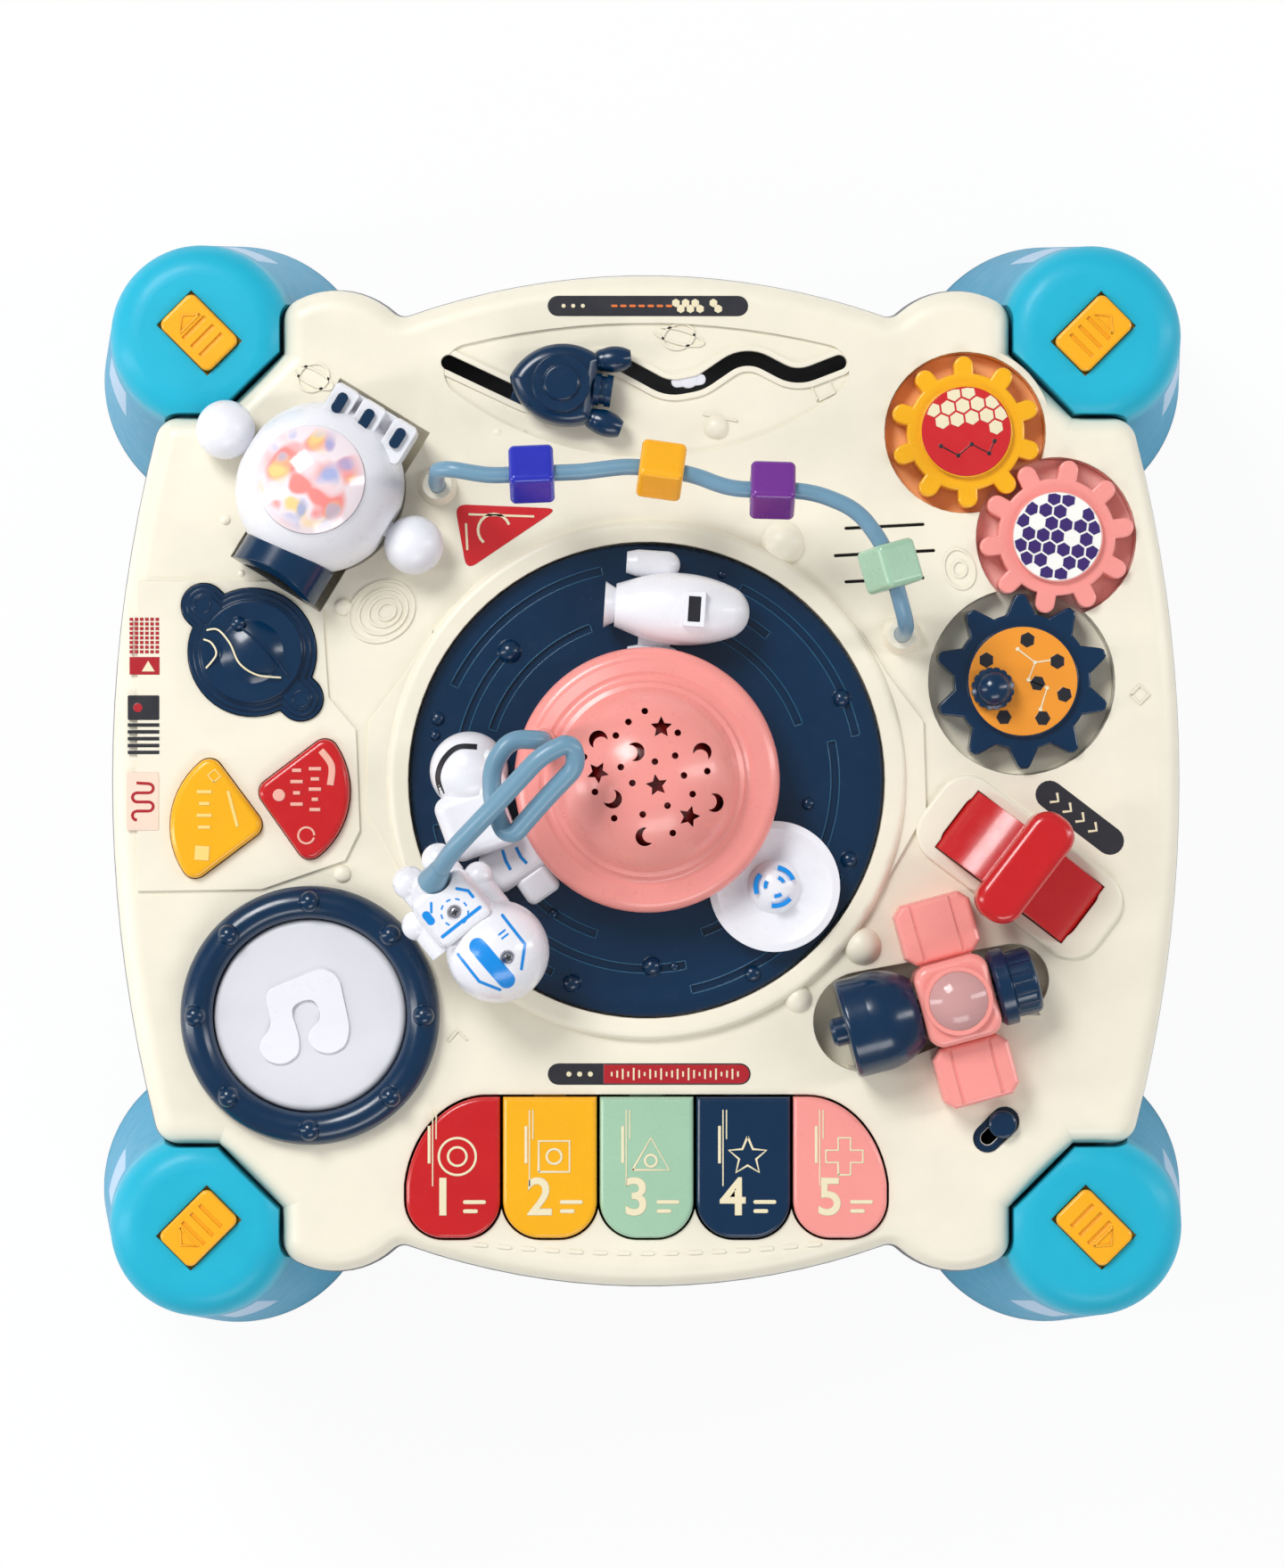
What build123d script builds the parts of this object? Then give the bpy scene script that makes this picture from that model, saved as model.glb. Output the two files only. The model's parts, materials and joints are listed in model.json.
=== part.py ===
from build123d import *
import os
from math import atan2, cos, degrees, radians, sin, tan

# Musical activity table on four tapered legs. Millimetres, +Z up, origin on the floor under the
# middle of the play panel; the row of keys faces -Y.

# Heights
pad_top = 4.0
shoulder_z = 168.0
seam_z = 195.0
panel_z = 212.0
leg_top = 214.0

# Clearances
run_fit = 0.05
slide_gap = 0.3
button_gap = 0.4
key_gap = 0.9

# Play panel and housing
panel_half_x = 200.0
panel_half_y = 189.5
notch_near = 136.0
notch_far = 160.0
wall = 3.0
panel_edge_radius = 8.0
housing_flange = 1.2
housing_inset = 2.0
cup_wall = 2.5

# Legs
leg_axis = 167.0
foot_radius = 55.5
head_radius = 34.0
head_round = 12.0
tongue_width = 26.0
tongue_height = 12.0
tongue_length = 20.0
latch_length = 26.0
latch_width = 17.5
latch_rise = 2.5

# Turntable, its collar, spindle and the dome
disc_radius = 88.4
disc_thickness = 6.2
recess_depth = 7.0
collar_width = 8.0
collar_rise = 4.0
wing_rise = 1.4
wing_points = [(80.0, 56.0), (91.1, 38.3), (103.5, 22.0), (104.5, -11.3), (94.3, -29.3), (80.0, -54.0)]
spindle_radius = 30.0
spindle_top = panel_z + 2.0
stem_radius = 34.0
brim_radius = 49.2
brim_bottom = panel_z + 12.0
brim_top = panel_z + 22.0
step_radius = 36.0
step_top = panel_z + 27.0
dome_top = panel_z + 50.0
dome_wall = 2.5
hole_radius = 1.2
star_size = 4.1
moon_size = 3.4

# Keys
key_pitch = 36.1
key_width = 35.0
key_back = -118.3
key_front = -170.9
key_round = 14.0
key_top = panel_z + 2.5
key_bottom = panel_z - 12.0
key_pin_y = -111.5
key_pin_z = panel_z - 9.0
key_pin_radius = 1.5
shoulder_x = 59.7
shoulder_y = -156.3
shoulder_a = 30.3
shoulder_b = 38.0

# Drum
drum_x = -125.5
drum_y = -87.7
drum_outer = 48.3
drum_head_radius = 35.8
drum_rise = 9.0
rivet_circle = 42.5
rivet_radius = 4.0
rivet_count = 8

# Planet button
planet_x = -147.2
planet_y = 47.8
planet_radius = 23.8
planet_span = 66.5
planet_ear = 16.6
planet_turn = -43.7

# Gears
gear_teeth = 10
gear_z = panel_z - 7.7
gear_top = panel_z + 4.0
well_depth = 8.0
axle_radius = 3.0
sticker_rise = 2.0

# Bead rail
rail_radius = 3.0
rail_top = panel_z + 46.0
bead_side = 16.4
bead_bore = 5.0
bead_lift = 0.5
bead_tilt = -32.0

# Crank knob on the navy gear
knob_x = 128.8
knob_y = 34.0
knob_radius = 8.0
knob_pin_radius = 2.0

# Rattle roller; its fins and nozzle sweep a band between the two band ends
rattle_x = -123.5
rattle_y = 110.0
rattle_z = panel_z + 10.0
rattle_radius = 32.0
rattle_reach = 39.0
rattle_angle = degrees(atan2(-0.523, 0.853))
band_start = -12.0
band_end = 24.5
fin_places = (-6.5, 5.0, 18.5)
fin_width = 9.5
nozzle_radius = 17.5
nozzle_shift = 6.0
pit_clear = 1.4
ball_radius = 11.0
rattle_tail = -27.3
rattle_nose = 31.8
ball_back = rattle_tail - 0.5 - ball_radius
ball_front = rattle_nose + 0.5 + ball_radius
pin_radius = 3.0

# Lever
lever_x = 139.3
lever_y = -32.4
lever_angle = degrees(atan2(-0.607, 0.794))
lever_axis_z = panel_z - 22.0
hood_radius = 38.0
hood_width = 26.0
hood_opening = 61.0
hood_gap = 0.5
handle_length = 46.4
handle_width = 18.4
handle_top = panel_z + 32.0
ear_thickness = 4.0

# Astronaut on its tether
astronaut_x = -68.6
astronaut_y = -51.0
astronaut_rise = 26.5
astronaut_helmet = 19.0
tether_radius = 3.5
tether_flare = 5.4

# Space station with its roller
station_x = 115.0
station_y = -81.7
station_angle = degrees(atan2(0.264, 0.9645))
station_axis_z = panel_z + 10.0
station_well_depth = 14.0
roller_radius = 18.6
hub_length = 28.0
hub_width = 31.0
arm_shift = 27.5
arm_length = 23.0
station_axle_radius = 4.0

# Slide switch
switch_x = 130.7
switch_y = -130.7
switch_width = 11.0
switch_length = 20.0

# Slider slot
slot_half_width = 2.85
slot_points = [(-74.0, 156.3), (-38.0, 139.4), (-17.0, 160.0), (8.0, 146.4), (20.0, 148.6),
               (37.0, 160.2), (56.0, 150.2), (72.0, 156.4)]
slot_bend = 14.0
slider_pin_x = -45.0
slider_pin_y = 142.7
rocket_x = -30.8
rocket_y = 147.4

# Battery compartment, board and speaker
battery_radius = 7.1
battery_length = 50.0
battery_y = 20.0
door_length = 84.0
door_width = 62.0
door_thickness = 2.5
board_length = 120.0
board_width = 60.0
board_y = -132.0
board_z = shoulder_z + 14.0
speaker_x = 89.0
speaker_y = 84.0
speaker_radius = 21.0


# ---------------------------------------------------------------- helpers

def disc(radius, low, high, x=0.0, y=0.0):
    return Pos(x, y, (low + high) / 2) * Cylinder(radius, high - low)


def block(length, width, low, high, x=0.0, y=0.0, turn=0.0):
    return Pos(x, y, (low + high) / 2) * Rot(0, 0, turn) * Box(length, width, high - low)


def prism(face, low, high):
    return Pos(0, 0, low) * extrude(face, high - low)


def softened(solid, height, radius):
    edges = solid.edges().filter_by_position(Axis.Z, height - 0.01, height + 0.01)
    return fillet(edges, radius)


def turned(*edges):
    return revolve(Plane.XZ * make_face(list(edges)), Axis.Z)


def turned_points(points):
    return revolve(Plane.XZ * make_face(Polyline(*points, close=True)), Axis.Z)


def bump(radius, x, y, base, rise):
    # a domed stud: the part of a ball above its seat
    ball = Pos(x, y, base + rise - radius) * Sphere(radius)
    return ball & disc(radius + 1, base - 0.5, base + rise + 1, x, y)


def redrawn(edge):
    # the same edge as a plain line, arc or curve
    if edge.geom_type == GeomType.LINE:
        return Line(edge @ 0, edge @ 1)
    if edge.geom_type == GeomType.ELLIPSE or edge.length > 2000:
        return Spline(*[edge @ (step / 8) for step in range(9)])
    return ThreePointArc(edge @ 0, edge @ 0.5, edge @ 1)


def grown(face, amount):
    # outline moved outwards by the amount, or inwards if it is negative
    moved = offset(face, amount)
    return make_face([redrawn(edge) for edge in moved.faces()[0].outer_wire().edges()])


def cap_arc(edge, low, top):
    # half outline of a spherical cap that ends on the axis
    rise = top - low
    ball = (edge ** 2 + rise ** 2) / (2 * rise)
    half = atan2(edge, ball - rise) / 2
    return ThreePointArc((edge, low), (ball * sin(half), top - ball + ball * cos(half)), (0, top))


def rounded_rect(length, width, radius, x=0.0, y=0.0, turn=0.0):
    return Pos(x, y) * Rot(0, 0, turn) * RectangleRounded(length, width, radius)


def lying(x, y, z, turn):
    # local +Z becomes the horizontal direction at this angle, local +X points up
    return Pos(x, y, z) * Rot(0, 0, turn) * Rot(0, 90, 0)


# ---------------------------------------------------------------- outlines

def quarter_outline():
    bulge_end = (92.5, panel_half_y - 16.5)
    lobe_mid = (112.0, panel_half_y - 6.0)
    lobe_end = (notch_near, notch_near + 41.0)
    inner_a = (notch_near, notch_far)
    inner_b = (notch_far, notch_near)
    side_end = (panel_half_x - 18.0, notch_near)
    return bulge_end, lobe_mid, lobe_end, inner_a, inner_b, side_end


def panel_face():
    bulge_end, lobe_mid, lobe_end, inner_a, inner_b, side_end = quarter_outline()
    edges = []
    for sx, sy in ((1, 1), (-1, 1), (-1, -1), (1, -1)):
        def flip(point):
            return (point[0] * sx, point[1] * sy)
        edges.append(ThreePointArc(flip(bulge_end), flip(lobe_mid), flip(lobe_end)))
        edges.append(Line(flip(lobe_end), flip(inner_a)))
        edges.append(Line(flip(inner_a), flip(inner_b)))
        edges.append(Line(flip(inner_b), flip(side_end)))
    for sign in (1, -1):
        edges.append(ThreePointArc((-bulge_end[0], sign * bulge_end[1]), (0, sign * panel_half_y),
                                   (bulge_end[0], sign * bulge_end[1])))
        edges.append(ThreePointArc((sign * side_end[0], -side_end[1]), (sign * panel_half_x, 0),
                                   (sign * side_end[0], side_end[1])))
    face = make_face(edges)
    outer = [v for v in face.vertices() if abs(v.X) > notch_near - 1 and abs(v.Y) > notch_near - 1]
    tips = [v for v in outer if max(abs(v.X), abs(v.Y)) > notch_far + 5]
    face = fillet(tips, 9.0)
    dents = [v for v in face.vertices() if abs(abs(v.X) - bulge_end[0]) < 0.01
             and abs(abs(v.Y) - bulge_end[1]) < 0.01]
    return fillet(dents, 6.0)


def key_region(grow):
    rear_depth = key_back - shoulder_y + grow
    rear = Pos(0, shoulder_y + rear_depth / 2) * Rectangle(2 * shoulder_x, rear_depth)
    front_depth = shoulder_y - key_front + 10
    front = Pos(0, shoulder_y - front_depth / 2) * Rectangle(2 * (shoulder_x + shoulder_a + grow), front_depth)
    left = Pos(-shoulder_x, shoulder_y) * Ellipse(shoulder_a + grow, shoulder_b + grow)
    right = Pos(shoulder_x, shoulder_y) * Ellipse(shoulder_a + grow, shoulder_b + grow)
    return rear + front + left + right


def key_face(index, grow=0.0):
    length = key_back - key_front + 2 * grow
    centre_x = (index - 2) * key_pitch
    whole = Pos(centre_x, (key_back + key_front) / 2) * Rectangle(key_width + 2 * grow, length)
    tips = [v for v in whole.vertices() if v.Y < key_front + 0.1]
    whole = fillet(tips, key_round + grow)
    return whole & key_region(grow)


def key_opening(index):
    return key_face(index, key_gap)


def planet_face(grow):
    ball = Pos(planet_x, planet_y) * Circle(planet_radius + grow)
    ears = Pos(planet_x, planet_y) * Rot(0, 0, planet_turn) * SlotOverall(planet_span + 2 * grow, planet_ear + 2 * grow)
    return ball + ears


def tone_face():
    arc = ThreePointArc((-162.0, 9.8), (-177.5, -14.5), (-169.3, -38.4))
    face = make_face([arc, Line((-169.3, -38.4), (-141.6, -17.6)), Line((-141.6, -17.6), (-162.0, 9.8))])
    return fillet(face.vertices(), 5.0)


def mode_face():
    arc = ThreePointArc((-119.2, 17.2), (-110.9, -7.0), (-126.9, -31.2))
    face = make_face([arc, Line((-126.9, -31.2), (-146.4, -3.5)), Line((-146.4, -3.5), (-119.2, 17.2))])
    return fillet(face.vertices(), 5.0)


def slot_face(grow):
    line = FilletPolyline(*slot_points, radius=slot_bend)
    wide = offset(line, slot_half_width + grow, side=Side.BOTH)
    return make_face([redrawn(edge) for edge in wide.edges()])


def station_well_face(grow):
    left = Pos(81.0, -90.2) * Circle(18.7 + grow)
    right = Pos(137.1, -74.5) * Circle(13.3 + grow)
    return make_hull((left + right).edges())


# ---------------------------------------------------------------- panel and housing

def gear_wells():
    return [(119.2, 130.1, 30.2), (153.2, 90.9, 30.0), (140.3, 36.9, 35.0)]


def rattle_profile(grow):
    # half outline of the roller about its own axis, from tail to nose
    radius = rattle_radius + grow
    tail = rattle_tail - grow
    nose = rattle_nose + grow
    arc = ThreePointArc((9.0 + grow, tail), (radius, 1.0), (10.0 + grow, nose))
    return make_face([Line((0, tail), (9.0 + grow, tail)), arc, Line((10.0 + grow, nose), (0, nose)),
                      Line((0, nose), (0, tail))])


def rattle_turned(grow):
    body = revolve(Plane.XZ * rattle_profile(grow), Axis.Z)
    return lying(rattle_x, rattle_y, rattle_z, rattle_angle) * body


def rattle_band(grow):
    # what the fins and the nozzle sweep, grown on every side
    middle = (band_start + band_end) / 2
    wheel = Cylinder(rattle_reach + grow, band_end - band_start + 2 * grow)
    return lying(rattle_x, rattle_y, rattle_z, rattle_angle) * Pos(0, 0, middle) * wheel


def top_panel():
    outline = panel_face()
    shell = softened(prism(outline, seam_z, panel_z), panel_z, panel_edge_radius)
    hollow = softened(prism(grown(outline, -wall), seam_z, panel_z - wall), panel_z - wall,
                      panel_edge_radius - wall)
    shell -= hollow
    # collar and cup of the turntable
    recess_radius = disc_radius + 0.6
    collar = disc(recess_radius + collar_width, panel_z - wall, panel_z + collar_rise)
    shell += softened(collar, panel_z + collar_rise, 3.0)
    recess_floor = panel_z - recess_depth
    shell += disc(recess_radius + cup_wall, recess_floor - cup_wall, panel_z)
    # faceted wings left and right of the collar
    for side in (-1, 1):
        wing = make_face(Polyline(*[(side * x, y) for x, y in wing_points], close=True))
        shell += prism(wing, panel_z - 1, panel_z + wing_rise)
    shell -= disc(recess_radius, recess_floor, panel_z + collar_rise + 1)
    # cups of the three gears, each with a post for its gear
    for x, y, radius in gear_wells():
        shell += disc(radius + cup_wall, panel_z - well_depth - cup_wall, panel_z - 1, x, y)
    for x, y, radius in gear_wells():
        shell -= disc(radius, panel_z - well_depth, panel_z + 1, x, y)
    for x, y, radius in gear_wells():
        shell += disc(axle_radius, panel_z - well_depth - 1, panel_z + 1, x, y)
    # cup under the space station
    shell += prism(station_well_face(cup_wall), panel_z - station_well_depth - cup_wall, panel_z - 1)
    shell -= prism(station_well_face(0), panel_z - station_well_depth, panel_z + 1)
    # pit of the rattle roller
    below = block(140, 140, seam_z - 30, panel_z - 1, rattle_x, rattle_y)
    shell += (rattle_turned(pit_clear + cup_wall) + rattle_band(pit_clear + cup_wall)) & below
    shell -= rattle_turned(pit_clear) + rattle_band(pit_clear)
    # shallow field round the slider slot
    field = make_face([ThreePointArc((-86, 158), (0, 171), (86, 158)),
                       ThreePointArc((86, 158), (0, 121), (-86, 158))])
    field = fillet(field.vertices(), 10.0)
    shell -= prism(field, panel_z - 1.2, panel_z + 1)
    shell += prism(slot_face(2.2), panel_z - 1.5, panel_z - 0.3)
    shell -= prism(slot_face(0), panel_z - wall - 1, panel_z + 1)
    # keyboard opening and the lugs that hold the key pin
    for index in range(5):
        shell -= prism(key_opening(index), seam_z - 1, panel_z + 1)
    for side in (-1, 1):
        lug = block(4.0, 9.0, key_pin_z - 4.0, panel_z - wall + 0.5, side * 78.0, key_pin_y)
        shell += lug
    shell -= Pos(0, key_pin_y, key_pin_z) * Rot(0, 90, 0) * Cylinder(key_pin_radius + run_fit, 170)
    # button openings
    shell -= disc(drum_head_radius + button_gap, panel_z - wall - 1, panel_z + 1, drum_x, drum_y)
    shell -= prism(planet_face(button_gap), panel_z - wall - 1, panel_z + 1)
    band = make_face(Polyline((-190, 74.5), (-133, 74.3), (-121, 63.3), (-118.7, 31), (-108.5, 19),
                              (-107.0, -18.7), (-112.5, -30), (-143.7, -40.8), (-190, -41.5),
                              close=True))
    raised = prism(band, panel_z - 1, panel_z + 1.2)
    raised -= prism(planet_face(button_gap), panel_z - wall, panel_z + 3)
    raised -= rattle_band(pit_clear)
    shell += raised & prism(grown(outline, -4.0), panel_z - 2, panel_z + 3)
    shell -= prism(grown(tone_face(), button_gap), panel_z - wall - 1, panel_z + 3)
    shell -= prism(grown(mode_face(), button_gap), panel_z - wall - 1, panel_z + 3)
    # frame plate and opening of the lever
    plate = prism(rounded_rect(82, 36, 12, lever_x, lever_y, lever_angle), panel_z - 1, panel_z + 2.5)
    shell += softened(plate, panel_z + 2.5, 1.5)
    hood_room = hood_width + 2 * button_gap
    opening = rounded_rect(hood_opening, hood_room, 7.0, lever_x, lever_y, lever_angle)
    shell -= prism(opening, panel_z - wall - 1, panel_z + 4)
    room = Rot(90, 0, 0) * Cylinder(hood_radius + hood_gap, hood_room)
    shell -= Pos(lever_x, lever_y, lever_axis_z) * Rot(0, 0, lever_angle) * room
    # switch slot, rail sockets and speaker slits
    switch = Pos(switch_x, switch_y) * Rot(0, 0, 45) * SlotOverall(switch_length, switch_width)
    shell -= prism(switch, panel_z - 2.0, panel_z + 1)
    stem = Pos(switch_x, switch_y) * Rot(0, 0, 45) * SlotOverall(14.0, 5.0)
    shell -= prism(stem, panel_z - wall - 1, panel_z + 1)
    for x, y in rail_feet():
        socket = turned_points([(0, 0), (7.5, 0), (5.4, 8.0), (0, 8.0)])
        shell += Pos(x, y, panel_z - 0.5) * socket
        shell -= disc(rail_radius + run_fit, panel_z - 2.0, panel_z + 10, x, y)
    for row, length in ((11.0, 30.0), (1.0, 38.0), (-9.0, 30.0)):
        slit = Pos(speaker_x, speaker_y + row) * Rot(0, 0, 3) * SlotOverall(length, 1.2)
        shell -= prism(slit, panel_z - wall - 1, panel_z + 1)
    for x, y, radius in ((51.0, 105.6 - 17, 8.7), (80.6, -62.0, 7.7),
                         (56.6, -81.6, 5.7), (-113.3, 64.7, 3.3)):
        shell += bump(radius, x, y, panel_z, radius * 0.62)
    shell += bump(5.0, 26.0, 132.3, panel_z - 1.2, 3.4)
    return shell


def corner_signs():
    # the back-right corner is drawn once and mirrored to the other three
    return {"back_right": (1, 1), "back_left": (-1, 1), "front_left": (-1, -1), "front_right": (1, -1)}


def at_corner(shape, signs):
    if signs[0] < 0:
        shape = mirror(shape, about=Plane.YZ)
    if signs[1] < 0:
        shape = mirror(shape, about=Plane.XZ)
    return shape


def lower_housing():
    outline = panel_face()
    body = prism(grown(outline, -housing_inset), shoulder_z, seam_z)
    body = softened(body, shoulder_z, 6.0)
    body += prism(grown(outline, housing_flange), seam_z - 5.0, seam_z)
    body -= prism(grown(outline, -housing_inset - wall), shoulder_z + wall, seam_z + 1)
    # sleeve of each leg tongue
    reach = (notch_near + notch_far) / 2 * 2 ** 0.5
    inner = reach - tongue_length
    sleeve_top = shoulder_z + wall + slide_gap + tongue_height + slide_gap
    for turn in (0, 90, 180, 270):
        spin = Rot(0, 0, turn + 45)
        sleeve = block(tongue_length - 1, tongue_width + 6, shoulder_z + 1, sleeve_top + cup_wall,
                       (reach + inner) / 2 - 2.0, 0)
        body += spin * sleeve
    for turn in (0, 90, 180, 270):
        spin = Rot(0, 0, turn + 45)
        channel = block(tongue_length + 10, tongue_width + 2 * slide_gap, shoulder_z + wall, sleeve_top,
                        reach - tongue_length / 2, 0)
        body -= spin * channel
    # battery compartment walls and door opening
    box = block(door_length - 8, door_width - 8, shoulder_z + 1, shoulder_z + 22, 0, battery_y)
    box -= block(door_length - 13, door_width - 13, shoulder_z, shoulder_z + 20, 0, battery_y)
    body += box
    body -= block(door_length - 13, door_width - 13, shoulder_z - 1, shoulder_z + 20, 0, battery_y)
    body -= block(door_length, door_width, shoulder_z - 1, shoulder_z + door_thickness, 0, battery_y)
    # posts under the board
    for x in (-board_length / 2 + 6, board_length / 2 - 6):
        for y in (board_y - board_width / 2 + 6, board_y + board_width / 2 - 6):
            body += disc(3.0, shoulder_z + 1, board_z, x, y)
    # ears that carry the lever
    for side in (-1, 1):
        offset_v = side * (hood_width / 2 + slide_gap + ear_thickness / 2)
        ear = block(14.0, ear_thickness, shoulder_z + 1, lever_axis_z + 5.5, 0, offset_v)
        hole = Pos(0, offset_v, lever_axis_z) * Rot(90, 0, 0) * Cylinder(pin_radius + run_fit, 20)
        body += Pos(lever_x, lever_y) * Rot(0, 0, lever_angle) * (ear - hole)
    # screw bosses
    for x, y in screw_places():
        body += disc(4.0, shoulder_z + 1, seam_z, x, y)
        body -= disc(1.6, shoulder_z - 1, seam_z + 1, x, y)
        body -= disc(3.6, shoulder_z - 1, shoulder_z + 8, x, y)
    return body


def screw_places():
    return [(-60, 168), (60, 168), (-100, -152), (100, -152), (-183, -60), (183, -60), (-183, 60), (186, 60)]


def housing_screws():
    parts = []
    for x, y in screw_places():
        head = disc(3.2, shoulder_z + 5.8, shoulder_z + 8, x, y)
        shank = disc(1.5, shoulder_z + 8, seam_z, x, y)
        parts.append(head + shank)
    return Compound(children=parts)


# ---------------------------------------------------------------- legs

def leg_profile(shrink):
    low = pad_top
    top = leg_top - shrink
    head = head_radius - shrink
    foot = foot_radius - shrink
    round_radius = head_round - shrink * 0.6
    neck_z = top - round_radius
    mid = (head - round_radius + round_radius * sin(radians(45)),
           neck_z + round_radius * cos(radians(45)))
    return make_face([Line((0, low), (foot, low)), Line((foot, low), (foot, low + 3)),
                      Line((foot, low + 3), (head, neck_z)),
                      ThreePointArc((head, neck_z), mid, (head - round_radius, top)),
                      Line((head - round_radius, top), (0, top)), Line((0, top), (0, low))])


def leg_body():
    reach = leg_axis * 2 ** 0.5
    keep_out = prism(grown(panel_face(), housing_flange + slide_gap), shoulder_z, leg_top + 5)
    keep_in = prism(grown(panel_face(), housing_flange + slide_gap + wall), shoulder_z - wall, leg_top + 5)
    outer = Pos(leg_axis, leg_axis) * revolve(Plane.XZ * leg_profile(0), Axis.Z)
    inner = Pos(leg_axis, leg_axis) * revolve(Plane.XZ * leg_profile(wall), Axis.Z)
    inner += disc(foot_radius - wall, pad_top - 1, pad_top + 1, leg_axis, leg_axis)
    body = (outer - keep_out) - (inner - keep_in)
    face = (notch_near + notch_far) / 2 * 2 ** 0.5 + housing_flange + slide_gap
    tip = (notch_near + notch_far) / 2 * 2 ** 0.5 - tongue_length
    low = shoulder_z + wall + slide_gap
    tongue = block(face + 1 - tip, tongue_width, low, low + tongue_height, (face + 1 + tip) / 2, 0)
    body += Rot(0, 0, 45) * tongue
    window = block(latch_length + 2 * button_gap, latch_width + 2 * button_gap, leg_top - wall - 2,
                   leg_top + 2, reach, 0)
    return body - Rot(0, 0, 45) * window


def leg_latch():
    reach = leg_axis * 2 ** 0.5
    flange_top = leg_top - wall - button_gap
    cap = block(latch_length, latch_width, flange_top - 1, leg_top + latch_rise, reach, 0)
    cap = fillet(cap.edges().filter_by(Axis.Z), 3.0)
    cap = softened(cap, leg_top + latch_rise, 1.2)
    flange = block(latch_length + 3, latch_width + 3, flange_top - 3, flange_top, reach, 0)
    ribs = cap + flange
    for shift in (-6.5, -2.0, 2.5):
        ribs -= block(1.4, latch_width - 6, leg_top + latch_rise - 0.7, leg_top + latch_rise + 1, reach + shift, 0)
    return Rot(0, 0, 45) * ribs


def foot_pad():
    pad = disc(foot_radius - 1, 0, pad_top, leg_axis, leg_axis)
    pad += disc(foot_radius - wall - 1.5, pad_top - 1, pad_top + 4, leg_axis, leg_axis)
    edges = pad.edges().filter_by_position(Axis.Z, -0.01, 0.01)
    return fillet(edges, 1.5)


# ---------------------------------------------------------------- turntable and what rides on it

def turntable_spindle():
    return disc(spindle_radius, panel_z - recess_depth, spindle_top)


def turntable():
    low = panel_z - recess_depth + slide_gap
    top = low + disc_thickness
    plate = softened(disc(disc_radius, low, top), top, 1.0)
    plate -= disc(spindle_radius + run_fit, low - 1, top + 1)
    for radius, start, count in ((80.0, 12.0, 4), (70.5, 50.0, 4), (60.5, 20.0, 4)):
        for step in range(count):
            plate -= groove(radius, start + step * 360.0 / count, 52.0, top)
    for x, y, radius in ((-51.2, 48.2, 4.6), (72.8, 30.6, 3.5), (2.0, -69.6, 3.8), (-27.9, -75.8, 3.6),
                         (75.7, -29.7, 3.3)):
        plate += bump(radius, x, y, top, radius * 0.75)
    return plate


def groove(radius, start, sweep, top):
    # sector of a ring cut into the disc
    half = 1.5
    inner = radius - half
    outer = radius + half

    def polar(r, angle):
        return (r * cos(radians(angle)), r * sin(radians(angle)))
    middle = start + sweep / 2
    end = start + sweep
    face = make_face([
        ThreePointArc(polar(inner, start), polar(inner, middle), polar(inner, end)),
        Line(polar(inner, end), polar(outer, end)),
        ThreePointArc(polar(outer, end), polar(outer, middle), polar(outer, start)),
        Line(polar(outer, start), polar(inner, start))])
    return prism(face, top - 1.0, top + 1)


def disc_top():
    return panel_z - recess_depth + slide_gap + disc_thickness


def toy_rocket():
    base = disc_top()
    half = 13.4
    hull = revolve(Plane.XZ * make_face([
        Line((0, -26.0), (8.0, -26.0)), Line((8.0, -26.0), (10.5, -19.0)),
        ThreePointArc((10.5, -19.0), (half, 0.0), (9.6, 17.0)),
        cap_arc(9.6, 17.0, 24.0), Line((0, 24.0), (0, -26.0))]), Axis.Z)
    nozzle = revolve(Plane.XZ * make_face(Polyline((0, -26), (0, -30), (8.6, -30), (6.4, -26), close=True)), Axis.Z)
    place = lying(14.2, 63.4, base + 11.0, -3.7)
    rocket = place * (hull + nozzle)
    booster = revolve(Plane.XZ * make_face([
        Line((0, -11.0), (4.0, -11.0)), Line((4.0, -11.0), (5.0, -7.0)), Line((5.0, -7.0), (5.0, 4.0)),
        cap_arc(5.0, 4.0, 9.0), Line((0, 9.0), (0, -11.0))]), Axis.Z)
    for y in (80.6, 45.2):
        rocket += lying(3.5, y, base + 5.4, -3.7) * booster
    rocket += block(12, 36, base, base + 6, 3.5, 62.9, -3.7)
    rocket &= block(120, 60, base, base + 60, 14, 63)
    frame = block(8.0, 13.0, base + 20, base + 25.6, 17.5, 63.0, -3.7)
    frame -= block(4.6, 9.4, base + 24.6, base + 27, 17.5, 63.0, -3.7)
    return rocket + frame


def toy_dish():
    base = disc_top()
    bowl = turned(Line((0, 0), (16.0, 0)), Line((16.0, 0), (24.4, 6.0)),
                  Line((24.4, 6.0), (24.4, 8.0)), Line((24.4, 8.0), (21.6, 8.4)),
                  ThreePointArc((21.6, 8.4), (14.0, 6.6), (10.0, 6.4)),
                  cap_arc(10.0, 6.4, 12.6), Line((0, 12.6), (0, 0)))
    return Pos(47.6, -39.6, base) * bowl


def toy_capsule():
    base = disc_top()
    helmet = Pos(-66.0, 3.4, base + 12.5) * Sphere(14.6)
    chest = fillet(block(26, 25, base, base + 23.5, -63.5, -15.5, 20).edges(), 5.0)
    pack = fillet(block(12, 18, base, base + 25, -59.0, 2.0, 20).edges(), 3.5)
    hips = fillet(block(24, 17, base, base + 11.6, -49.5, -29.5, 35).edges(), 4.0)
    boot = fillet(block(14, 12, base, base + 10, -40.5, -38.5, 35).edges(), 3.0)
    shape = helmet + chest + pack + hips + boot
    shape &= block(100, 100, base, base + 60, -60, -10)
    return shape


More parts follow.
